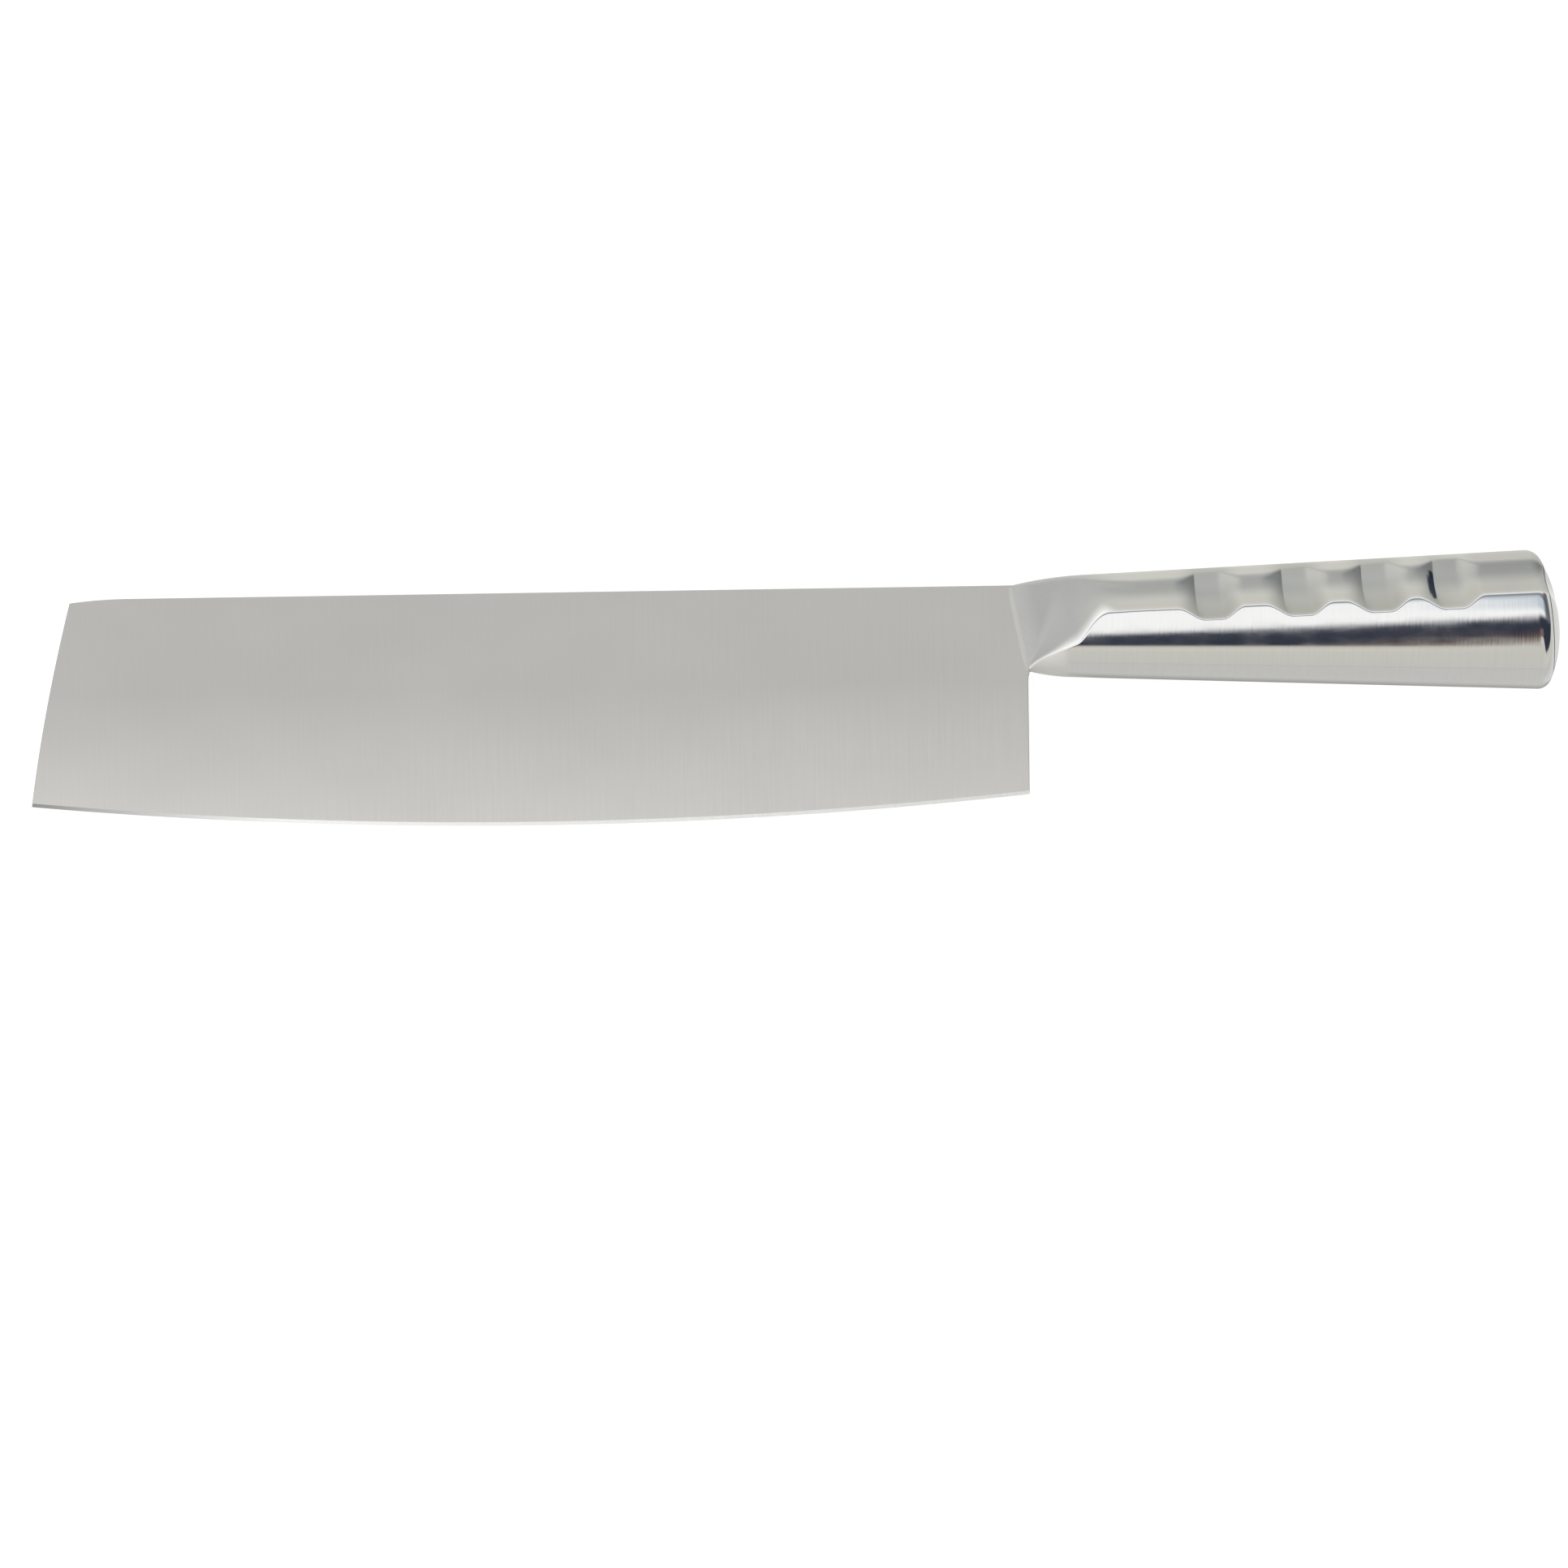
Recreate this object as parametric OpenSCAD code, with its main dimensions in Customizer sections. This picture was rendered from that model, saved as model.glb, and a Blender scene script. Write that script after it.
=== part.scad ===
// Cleaver with a slim rectangular blade and a hollow pressed-steel handle.
// The knife lies on its side. X runs from the blade's front end to the butt, Y points to the spine,
// and Z is square to the blade. The blade's middle plane is Z = 0 and both sides mirror each other.
// The origin is the middle of the whole knife's box.

/* [Blade] */
// Length of the blade from its front lower corner to the heel
blade_l = 217; // [190:1:250]
// Thickness of the blade's sheet
blade_t = 2.4; // [2:0.1:3]
// Height of the blade at the heel, from the spine down to the edge
heel_h = 45.4; // [40:0.1:60]
// Height of the blade at its front lower corner
tip_h = 44.9; // [40:0.1:60]
// How far the curved edge hangs below a straight line from tip to heel
belly_sag = 5.4; // [3:0.1:9]
// How far the front end leans back from its lower corner to the spine
front_lean = 9; // [0:0.1:20]
// How far the front end bows out from a straight line
front_bow = 0.6; // [0.2:0.1:2]
// Drop of the spine at its front corner
spine_drop = 0.8; // [0.2:0.1:2]
// Length over which the spine drops to its front corner
spine_drop_l = 12.6; // [5:0.1:30]
// Width of the sharpened bevel along the edge
bevel_w = 0.8; // [0.4:0.1:1.5]
// Half of the thickness behind the sharpened bevel
bevel_half_t = 0.36; // [0.25:0.01:0.5]
// Half of the thickness left at the edge itself
edge_half_t = 0.06; // [0.04:0.01:0.12]
// Width of the ground zone in which the sheet thins towards the edge
grind_w = 26; // [15:0.5:30]
// Length of the stub tang inside the handle's mouth
tang_l = 9; // [5:0.5:12]
// Height of the stub tang
tang_h = 12.5; // [8:0.5:13]

/* [Handle] */
// Length of the pressed shells along the handle's axis, from mouth to cap seam
shell_l = 113.6; // [106:0.1:130]
// Distance of the mouth from the heel line, measured on the axis
mouth_back = 1.5; // [0.5:0.1:3]
// Distance of the handle's axis below the spine
axis_drop = 9.1; // [8.8:0.1:12]
// Wall thickness of the pressed sheet
wall = 1.2; // [0.8:0.1:1.2]
// Half height of the main taper at the mouth
taper_front = 10.6; // [10:0.1:12]
// Half height of the main taper at the cap seam
taper_butt = 15.2; // [13:0.1:18]
// How far the mouth's upper corner lies below the main taper
neck_top = 1.5; // [0.5:0.1:2]
// Length of the upper neck curve
neck_top_l = 16; // [8:0.5:25]
// How far the mouth's lower corner lies above the main taper
neck_low = 0.95; // [0.3:0.05:1.5]
// Length of the lower neck curve
neck_low_l = 9; // [5:0.5:16]
// Depth of the round bulge, as a share of its half height
bulge_ratio = 0.955; // [0.8:0.005:1.05]
// Depth of the bulge where it starts at the mouth
bulge_start = 6.2; // [5:0.1:7.5]
// Length over which the bulge swells out of the mouth
bulge_nose_l = 8; // [5:0.5:14]
// Lean of the mouth line from square to the axis, in degrees
mouth_lean = 11.1; // [5:0.1:15]
// Lean of the grip's cross sections, in degrees
grip_lean = 3.4; // [0:0.1:8]
// Lean of the butt end, in degrees
butt_lean = 5; // [0:0.1:8]

/* [Pressed flank] */
// Height of the ridge above the axis where the grip starts
ridge_front = 2.8; // [1:0.1:4]
// Height of the ridge above the axis at the butt
ridge_butt = 5.6; // [3:0.1:7]
// Distance from the mouth at which the ridge starts to climb its shoulder
shoulder_start = 11; // [8:0.5:14]
// Distance from the mouth at which the shoulder ends
shoulder_end = 19.3; // [17:0.1:25]
// Depth of the ridge below the axis at the mouth
ridge_low_mouth = 8.25; // [7.5:0.05:8.4]
// Depth of the ridge below the axis at the start of the shoulder
ridge_low_shoulder = 3.9; // [2:0.1:5]
// Extra dip of the ridge at the mouth
ridge_nose = 0.85; // [0.3:0.05:0.9]
// Length of that dip
ridge_nose_l = 3.7; // [2:0.1:6]
// Half thickness of the pinched mouth
mouth_half_t = 2.05; // [2.0:0.05:2.5]
// Rise of the bolster just behind the mouth
bolster_rise = 1.0; // [0.3:0.1:1.5]
// Length of that rise
bolster_rise_l = 4.4; // [2:0.1:8]
// Length over which the flat bolster opens into the flank
bolster_l = 26; // [20:0.5:34]
// Half thickness at the top of the flank where the grip starts
flank_top = 5.8; // [5:0.1:7]
// Half thickness at the top of the flank at the butt
flank_top_butt = 8.4; // [7:0.1:10]
// Width of the cove below the ridge at the mouth; it widens to the whole flank
cove_w_mouth = 1.2; // [0.8:0.1:2]
// Width of the rounded strip along the top of the grip
strip_w = 3.2; // [2.2:0.1:4]
// Width of the rounded strip at the mouth
strip_w_mouth = 1.2; // [0.7:0.1:1.6]

/* [Finger dimples] */
// Number of dimples on each side
dimple_count = 4; // [1:1:4]
// Distance of the first valley line from the mouth
dimple_first = 38.1; // [34:0.1:42]
// Distance from the first valley line to the second
dimple_pitch = 18.9; // [18.2:0.1:20]
// How much shorter each next distance is
dimple_pitch_step = 1.7; // [0:0.1:2]
// Depth of a dimple
dimple_depth = 2; // [0.5:0.1:2.5]
// Length of the steep wall in front of the valley line
dimple_wall_l = 4.6; // [3:0.1:5.3]
// Length of the flat floor behind the valley line
dimple_floor_l = 5; // [4:0.1:5.7]
// Length of the ramp that climbs out of the floor
dimple_ramp_l = 5.1; // [4:0.1:5.8]
// How far a dimple pushes the ridge down
dimple_scallop = 2.7; // [1:0.1:3.5]
// Distance behind the valley line at which the ridge is pushed down fully
dimple_scallop_lag = 1.5; // [0.5:0.1:3]
// How much a dimple narrows the strip on top
dimple_strip_cut = 1.8; // [0.5:0.1:2]

/* [Butt cap] */
// Radius of the rolled rim in front of the cap
rim_r = 3; // [2:0.1:4]
// Angle through which the rim rolls in before the dome starts
rim_turn = 65; // [55:1:75]

/* [Welds] */
// Half width of the seam welds between the two shells
seam_half_w = 0.4; // [0.3:0.05:0.6]
// Width of the ring weld in front of the cap
cap_weld_w = 0.6; // [0.4:0.1:1]
// Width of the fillet weld on the blade's cheek
fillet_w = 1.3; // [0.8:0.1:2]
// Depth of the land that is ground into the cheek under the fillet weld
weld_land = 0.1; // [0.05:0.05:0.2]

/* [Hidden] */

// Clearance of the tang inside the shells
tang_clear = 0.05;
// Steepness of a dimple's front wall: 1 is a plain slope, more is hollow
WALL_POWER = 1.7;
// Hollow of the flank between ridge and top, on the bolster, in the grip and in a dimple: 1 is straight
BOLSTER_HOLLOW = 2.4;
FLANK_HOLLOW = 2;
DIMPLE_HOLLOW = 2.8;
// Crowding of the flank's points towards the ridge: 1 is even
FLANK_CROWD = 1.3;
// Where the sections lie along a dimple's front wall, floor and ramp, as shares of each
WALL_SHARES = [0, 0.4, 0.75, 1];
FLOOR_SHARES = [0.3, 0.65, 1];
RAMP_SHARES = [0.3, 0.65, 1];
// Steps of the round stretches
SPINE_STEPS = 6;
ARC_STEPS = 16;
CHOIL_STEPS = 5;
GRIND_STEPS = 7;
BULGE_STEPS = 9;
FLANK_STEPS = 7;
STRIP_STEPS = 5;
RIM_STEPS = 5;
DOME_STEPS = 6;
// Angle at which the dome's rings stop and a small flat closes it
DOME_STOP = 88;
// Distance between sections in the plain stretches
SECTION_GAP = 4.5;
MOUTH_SECTIONS = [0, 0.8, 1.8, 3, 4.4, 6, 8, 10, 12, 14, 16, 18, 20, 23];
// Height over which the heel's upper corner is hollowed below the handle
CHOIL_H = 2.4;
// Facets of the full circle from which the long blade grinds are cut
GRIND_FN = 1440;
// Spare length of the cutting tools
SPARE = 5;

function mix(a, b, t) = a + (b - a) * t;
function clamp01(t) = max(0, min(1, t));
function smooth(t) = let(s = clamp01(t)) s * s * (3 - 2 * s);
function unit(v) = v / norm(v);

// Blade: corners, belly arc and places
heel = [0, -heel_h];
tip = [-blade_l, -tip_h];
spine_corner = [-blade_l + front_lean, -spine_drop];
belly_chord = norm(heel - tip);
belly_r = (belly_chord * belly_chord / 4 + belly_sag * belly_sag) / (2 * belly_sag);
belly_up = unit([-(heel - tip).y, (heel - tip).x]);
belly_mid = (heel + tip) / 2;
belly_c = belly_mid + belly_up * (belly_r - belly_sag);
blade_low = belly_c.y - belly_r;

// Handle: half heights above and below the axis, and depth of the bulge
function taper(u) = mix(taper_front, taper_butt, u / shell_l);
function top_h(u) = taper(u) - neck_top * pow(max(0, 1 - u / neck_top_l), 2);
function low_h(u) = taper(u) - neck_low * pow(max(0, 1 - u / neck_low_l), 2);
function half_h(u, side) = side < 0 ? low_h(u) : top_h(u);
function nose(u) = sin(90 * clamp01(u / bulge_nose_l));
function bulge(u) = mix(bulge_start, bulge_ratio * taper(u), nose(u));

// Dimples: place, depth along the axis and scallop of the ridge, at s behind the valley line
function valley(i) = dimple_first + i * dimple_pitch - dimple_pitch_step * i * (i - 1) / 2;
function dip(s) =
    s < 0
        ? pow(max(0, 1 + s / dimple_wall_l), WALL_POWER)
        : 1 - smooth((s - dimple_floor_l) / dimple_ramp_l);
function scallop(s) =
    min(smooth((s + dimple_wall_l) / (dimple_wall_l + dimple_scallop_lag)),
        1 - smooth((s - dimple_floor_l) / dimple_ramp_l));
function dips(u) = max([for (i = [0 : dimple_count - 1]) dip(u - valley(i))]);
function scallops(u) = max([for (i = [0 : dimple_count - 1]) scallop(u - valley(i))]);

// Ridge: height above the axis, and where it sits on the bulge
function ridge_grip(u) =
    mix(ridge_front, ridge_butt, (u - shoulder_end) / (shell_l - shoulder_end));
function ridge_low(u) =
    -mix(ridge_low_mouth, ridge_low_shoulder, u / shoulder_start)
    - ridge_nose * pow(max(0, 1 - u / ridge_nose_l), 2);
function shoulder(u) = smooth((u - shoulder_start) / (shoulder_end - shoulder_start));
function ridge_y(u) = mix(ridge_low(u), ridge_grip(u), shoulder(u)) - dimple_scallop * scallops(u);
function ridge_turn(u) = asin(ridge_y(u) / half_h(u, ridge_y(u)));

// Flank: half thickness at its top, how hollow it is, and the widths of cove and strip
function bolster_z(u) =
    mouth_half_t + bolster_rise * (1 - pow(max(0, 1 - u / bolster_rise_l), 2));
function top_z(u) =
    mix(bolster_z(u), mix(flank_top, flank_top_butt, u / shell_l), smooth(u / bolster_l))
    - dimple_depth * dips(u);
function hollow(u) = mix(mix(BOLSTER_HOLLOW, FLANK_HOLLOW, shoulder(u)), DIMPLE_HOLLOW, dips(u));
function cove(u, flank_w) = mix(cove_w_mouth, flank_w, smooth(u / shoulder_start));
function strip(u) =
    mix(strip_w_mouth, strip_w, smooth((u - shoulder_start) / (bolster_l - shoulder_start)))
    - dimple_strip_cut * scallops(u);

// Half thickness of the outer flank at height y; below the ridge it stays at the ridge's own
function flank_z(u, y) =
    let(y0 = ridge_y(u), y2 = top_h(u) - strip(u), z0 = bulge(u) * cos(ridge_turn(u)),
        left = clamp01(1 - (y - y0) / cove(u, y2 - y0)))
    mix(top_z(u), z0, pow(left, hollow(u)));

// One section of the left half at depth w below the outer skin, from bottom seam to top seam,
// as [height above axis, half thickness]
function bulge_points(u, w) =
    let(depth = bulge(u) - w, start = -acos(seam_half_w / depth), end = ridge_turn(u))
    [for (j = [0 : BULGE_STEPS])
        let(a = mix(start, end, j / BULGE_STEPS))
        [sin(a) * (half_h(u, a) - w), depth * cos(a)]];
function flank_points(u, w) =
    let(turn = ridge_turn(u), z0 = (bulge(u) - w) * cos(turn), z2 = top_z(u) - w,
        y0 = sin(turn) * (half_h(u, turn) - w), y2 = top_h(u) - strip(u) - w, cove_w = cove(u, y2 - y0))
    [for (j = [1 : FLANK_STEPS])
        let(t = pow(j / FLANK_STEPS, FLANK_CROWD), left = max(0, 1 - t * (y2 - y0) / cove_w))
        [mix(y0, y2, t), mix(z2, z0, pow(left, hollow(u)))]];
function strip_points(u, w) =
    let(z2 = top_z(u) - w, end = asin(seam_half_w / z2))
    [for (j = [1 : STRIP_STEPS])
        let(a = mix(90, end, j / STRIP_STEPS))
        [top_h(u) - w - strip(u) * (1 - cos(a)), z2 * sin(a)]];
// A point at depth w is also kept that deep below the steep flank
function under_flank(u, w, p) =
    p[0] + w <= ridge_y(u) ? p : [p[0], min(p[1], flank_z(u, p[0] + w), flank_z(u, p[0]) - w)];
function section(u, w) = [for (p = concat(bulge_points(u, w), flank_points(u, w), strip_points(u, w)))
    under_flank(u, w, p)];
ROWS = BULGE_STEPS + FLANK_STEPS + STRIP_STEPS + 1;

// Stations along the axis, each as [distance from mouth, how much the section is drawn in, roll]
rim_start = shell_l - rim_r * sin(rim_turn);
rim_in = rim_r * (1 - cos(rim_turn));
weld_u = shell_l + cap_weld_w * cos(rim_turn);
weld_in = rim_in + cap_weld_w * sin(rim_turn);
dome_r = (taper_butt - weld_in) / cos(rim_turn);
dome_tip = weld_u + dome_r * (1 - sin(rim_turn));
function spread(a, b) =
    let(n = max(1, ceil((b - a) / SECTION_GAP)))
    [for (k = [1 : n]) mix(a, b, k / n)];
function dimple_sections(i) =
    let(v = valley(i), floor_u = v + dimple_floor_l)
    concat([for (t = WALL_SHARES) mix(v - dimple_wall_l, v, t)],
           [for (t = FLOOR_SHARES) mix(v, floor_u, t)],
           [for (t = RAMP_SHARES) floor_u + dimple_ramp_l * t]);
last_dimple = dimple_count - 1;
shell_u = concat(
    MOUTH_SECTIONS,
    spread(MOUTH_SECTIONS[len(MOUTH_SECTIONS) - 1], dimple_first - dimple_wall_l - 1),
    [for (i = [0 : last_dimple]) each dimple_sections(i)],
    spread(valley(last_dimple) + dimple_floor_l + dimple_ramp_l, rim_start));
stations = concat(
    [for (u = shell_u) [u, 0, 0]],
    [for (k = [1 : RIM_STEPS])
        let(a = rim_turn * k / RIM_STEPS)
        [rim_start + rim_r * sin(a), rim_r * (1 - cos(a)), a]],
    [[weld_u, weld_in, rim_turn]],
    [for (k = [1 : DOME_STEPS])
        let(a = mix(rim_turn, DOME_STOP, k / DOME_STEPS))
        [weld_u + dome_r * (sin(a) - sin(rim_turn)), taper_butt - dome_r * cos(a), a]]);
SHELL_END = len(shell_u) + RIM_STEPS - 1;
WELD_END = SHELL_END + 1;
LAST = len(stations) - 1;

// Lean of a section, and its points in space with the heel's spine corner as zero
function lean(u) =
    u < rim_start - bolster_l
        ? mix(tan(mouth_lean), tan(grip_lean), smooth(u / bolster_l))
        : mix(tan(grip_lean), tan(butt_lean), smooth((u - rim_start + bolster_l) / bolster_l));
function drawn_in(p, share) = [p[0] * (1 - share), mix(p[1], seam_half_w, share)];
function placed(p, u) = [-mouth_back + u - lean(u) * p[0], -axis_drop + p[0], p[1]];

// Skin at depth w below the outer one: it follows the roll of the rim and the dome
function skin(w) = [for (s = stations)
    let(u = s[0] - w * sin(s[2]), share = (s[1] - w * (1 - cos(s[2]))) / (taper_butt - w))
    [for (p = section(u, w)) placed(drawn_in(p, share), u)]];
outer = skin(0);
inner = skin(wall);

// Middle of the whole knife's box
knife_back = dome_tip - mouth_back;
knife_top = top_h(rim_start) - axis_drop;
middle = [(knife_back - blade_l) / 2, (knife_top + blade_low) / 2, 0];

// Triangles between the rows of points that start at a and b, with n points each
function band(a, b, n) = [for (k = [0 : n - 2])
    each [[a + k, b + k + 1, b + k], [a + k, a + k + 1, b + k + 1]]];
function flipped(faces) = [for (f = faces) [for (k = [len(f) - 1 : -1 : 0]) f[k]]];
function shifted(faces, by) = [for (f = faces) [for (v = f) v + by]];
function mirrored(p) = [p.x, p.y, -p.z];
function mean(points) = [for (v = points) 1] * points / len(points);

module half_shell() {
    points = concat([for (i = [0 : SHELL_END]) each outer[i]], [for (i = [0 : SHELL_END]) each inner[i]]);
    inside = (SHELL_END + 1) * ROWS;
    skins = [for (i = [0 : SHELL_END - 1]) each band(i * ROWS, (i + 1) * ROWS, ROWS)];
    mouth = flipped(band(0, inside, ROWS));
    back = band(SHELL_END * ROWS, inside + SHELL_END * ROWS, ROWS);
    low_edge = [for (i = [0 : SHELL_END - 1])
        let(a = i * ROWS, b = a + ROWS) each [[a, b, b + inside], [a, b + inside, a + inside]]];
    top_edge = flipped(shifted(low_edge, ROWS - 1));
    polyhedron(points, concat(skins, flipped(shifted(skins, inside)), mouth, back, low_edge, top_edge),
               convexity = 6);
}

// Full turn of points at one station, and the triangles between two such turns, alike on both sides
function full_turn(row) = concat(row, [for (j = [ROWS - 1 : -1 : 0]) mirrored(row[j])]);
TURN = 2 * ROWS;
function turn_band(a, b) = [for (k = [0 : TURN - 1])
    let(m = (k + 1) % TURN)
    each k < ROWS
        ? [[a + k, b + m, b + k], [a + k, a + m, b + m]]
        : [[a + k, a + m, b + k], [a + m, b + m, b + k]]];
function fan(a, centre) = [for (k = [0 : TURN - 1]) [a + k, a + (k + 1) % TURN, centre]];

// Wall between two stations, all the way round; closed at the back by small flats if capped
module ring_wall(first, last, capped) {
    skin = [for (i = [first : last]) each full_turn(outer[i])];
    root = [for (i = [first : last]) each full_turn(inner[i])];
    inside = (last - first + 1) * TURN;
    end = inside - TURN;
    skins = [for (a = [0 : TURN : end - TURN]) each turn_band(a, a + TURN)];
    front = flipped(turn_band(0, inside));
    back = capped
        ? concat(fan(end, 2 * inside), flipped(fan(inside + end, 2 * inside + 1)))
        : turn_band(end, inside + end);
    centres = capped ? [mean(full_turn(outer[last])), mean(full_turn(inner[last]))] : [];
    polyhedron(concat(skin, root, centres), concat(skins, flipped(shifted(skins, inside)), front, back),
               convexity = 4);
}

// Points on the arc from a to b that bows by sag to the right of the way from a to b
function bowed(a, b, sag, n) =
    let(chord = norm(b - a), r = (chord * chord / 4 + sag * sag) / (2 * sag),
        side = unit([(b - a).y, (a - b).x]), c = (a + b) / 2 - side * (r - sag),
        half = asin(chord / 2 / r), mid = atan2(side.y, side.x))
    [for (k = [0 : n])
        let(t = mid - half + 2 * half * k / n)
        c + r * [cos(t), sin(t)]];

// Mouth line, where the blade ends against the shells
function mouth_at(y) = [-mouth_back - tan(mouth_lean) * y, -axis_drop + y];
mouth_low = mouth_at(-low_h(0));

// Outline seen from the side; below the edge it has spare height, which the ring section cuts off
module blade_outline() {
    below = [0, -2 * belly_sag];
    polygon(concat(
        [[mouth_at(axis_drop).x, 0]],
        [for (k = [0 : SPINE_STEPS - 1])
            let(t = k / SPINE_STEPS)
            [spine_corner.x + spine_drop_l * (1 - t), -spine_drop * t * t]],
        bowed(spine_corner, tip, front_bow, ARC_STEPS),
        [tip + below, heel + below],
        [for (k = [0 : CHOIL_STEPS])
            let(t = k / CHOIL_STEPS)
            [mouth_low.x * t * t, mouth_low.y - CHOIL_H * (1 - t)]]));
}

// Ring section whose outer rim is the sharp edge, thinning towards it
module grind_section() {
    upper = concat(
        [[belly_r, edge_half_t], [belly_r - bevel_w, bevel_half_t]],
        [for (k = [1 : GRIND_STEPS])
            let(t = k / GRIND_STEPS)
            [belly_r - bevel_w - (grind_w - bevel_w) * t,
             mix(bevel_half_t, blade_t / 2, 1 - pow(1 - t, 2))]],
        [[belly_r - 2 * heel_h, blade_t / 2]]);
    polygon(concat(upper, [for (k = [len(upper) - 1 : -1 : 0]) [upper[k][0], -upper[k][1]]]));
}

module tang() {
    depth = mouth_half_t - wall - tang_clear;
    corners = [mouth_at(-tang_h / 2), mouth_at(tang_h / 2)];
    translate([0, 0, -depth])
        linear_extrude(2 * depth)
            polygon([corners[0] - [SPARE, 0], corners[0] + [tang_l, 0], corners[1] + [tang_l, 0],
                     corners[1] - [SPARE, 0]]);
}

module blade() {
    color([0.74, 0.74, 0.72])
        translate(-middle) {
            difference() {
                intersection() {
                    translate([0, 0, -blade_t])
                        linear_extrude(2 * blade_t)
                            blade_outline();
                    translate([belly_c.x, belly_c.y, 0])
                        rotate_extrude($fn = GRIND_FN)
                            grind_section();
                }
                land_cut();
                mirror([0, 0, 1])
                    land_cut();
            }
            tang();
        }
}

module left_handle_shell() {
    color([0.82, 0.82, 0.8])
        translate(-middle)
            half_shell();
}

module right_handle_shell() {
    color([0.78, 0.78, 0.76])
        translate(-middle)
            mirror([0, 0, 1])
                half_shell();
}

module butt_cap() {
    color([0.86, 0.86, 0.84])
        translate(-middle)
            ring_wall(WELD_END, LAST, true);
}

module cap_weld() {
    color([0.45, 0.45, 0.46])
        translate(-middle)
            ring_wall(SHELL_END, WELD_END, false);
}

// Flat strip between the shells along row j
module seam_strip(j) {
    skin = [for (i = [0 : SHELL_END]) [outer[i][j].x, outer[i][j].y]];
    root = [for (i = [SHELL_END : -1 : 0]) [inner[i][j].x, inner[i][j].y]];
    translate([0, 0, -seam_half_w])
        linear_extrude(2 * seam_half_w)
            polygon(concat(skin, root));
}

module spine_seam_weld() {
    color([0.6, 0.6, 0.6])
        translate(-middle)
            seam_strip(ROWS - 1);
}

module belly_seam_weld() {
    color([0.6, 0.6, 0.6])
        translate(-middle)
            seam_strip(0);
}

// Shape on one cheek along the mouth line; its profile has [distance behind the line, half thickness]
module along_mouth(profile) {
    y0 = -low_h(0) + cove_w_mouth + ridge_nose;
    y1 = top_h(0) - strip_w_mouth;
    foot = mouth_at(y0);
    translate([foot.x, foot.y, 0])
        rotate([0, 0, mouth_lean])
            rotate([-90, 0, 0])
                mirror([0, 1, 0])
                    linear_extrude((y1 - y0) / cos(mouth_lean))
                        polygon(profile);
}

land_z = blade_t / 2 - weld_land;
module land_cut() {
    along_mouth([[SPARE, land_z], [-fillet_w, land_z], [-fillet_w, blade_t], [SPARE, blade_t]]);
}

module cheek_fillet() {
    along_mouth([[0, land_z], [0, mouth_half_t], [-fillet_w, blade_t / 2], [-fillet_w, land_z]]);
}

module bolster_weld() {
    color([0.7, 0.7, 0.7])
        translate(-middle) {
            cheek_fillet();
            mirror([0, 0, 1])
                cheek_fillet();
        }
}

blade();
left_handle_shell();
right_handle_shell();
butt_cap();
bolster_weld();
spine_seam_weld();
belly_seam_weld();
cap_weld();
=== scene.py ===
"""Looks of the slim steel cleaver: a brushed blade and a pressed handle, partly satin and partly polished.
The front end points to -X, the spine to +Y, and the camera looks down -Z. Sizes are in millimetres and
follow the part's own formulas; meshes are made in metres."""

import math

import bpy
import numpy as np
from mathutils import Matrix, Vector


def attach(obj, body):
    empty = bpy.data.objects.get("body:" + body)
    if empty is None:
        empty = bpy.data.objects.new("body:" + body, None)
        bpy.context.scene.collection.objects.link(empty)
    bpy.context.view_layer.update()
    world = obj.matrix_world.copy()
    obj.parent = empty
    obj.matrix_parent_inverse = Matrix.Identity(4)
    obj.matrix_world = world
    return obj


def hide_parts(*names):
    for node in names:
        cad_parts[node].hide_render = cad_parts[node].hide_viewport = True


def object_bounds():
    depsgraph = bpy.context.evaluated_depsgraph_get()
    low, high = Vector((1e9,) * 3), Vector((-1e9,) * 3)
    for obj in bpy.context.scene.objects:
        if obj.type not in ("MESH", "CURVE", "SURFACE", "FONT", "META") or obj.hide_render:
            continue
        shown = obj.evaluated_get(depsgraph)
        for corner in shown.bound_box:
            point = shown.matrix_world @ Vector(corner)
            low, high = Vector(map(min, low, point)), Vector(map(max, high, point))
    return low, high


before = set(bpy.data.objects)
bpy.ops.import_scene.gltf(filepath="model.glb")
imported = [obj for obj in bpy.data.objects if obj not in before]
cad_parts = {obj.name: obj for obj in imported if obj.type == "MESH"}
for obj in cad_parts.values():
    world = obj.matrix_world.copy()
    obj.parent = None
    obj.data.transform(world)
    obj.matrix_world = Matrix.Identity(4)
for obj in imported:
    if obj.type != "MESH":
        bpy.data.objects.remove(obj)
cad_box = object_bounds()

MM = 0.001

# Blade
BLADE_L = 217.0
BLADE_T = 2.4
HEEL_H = 45.4
TIP_H = 44.9
BELLY_SAG = 5.4
FRONT_LEAN = 9.0
FRONT_BOW = 0.6
SPINE_DROP = 0.8
SPINE_DROP_L = 12.6
BEVEL_W = 0.8
BEVEL_HALF_T = 0.36
EDGE_HALF_T = 0.06
GRIND_W = 26.0
CHOIL_H = 2.4
TANG_L = 9.0
TANG_H = 12.5
TANG_HALF_T = 0.8

# Handle
SHELL_L = 113.6
MOUTH_BACK = 1.5
AXIS_DROP = 9.1
WALL = 1.2
TAPER_FRONT = 10.6
TAPER_BUTT = 15.2
NECK_TOP = 1.5
NECK_TOP_L = 16.0
NECK_LOW = 0.95
NECK_LOW_L = 9.0
BULGE_RATIO = 0.955
BULGE_START = 6.2
BULGE_NOSE_L = 8.0
MOUTH_LEAN = math.tan(math.radians(11.1))
GRIP_LEAN = math.tan(math.radians(3.4))
BUTT_LEAN = math.tan(math.radians(5.0))

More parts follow.
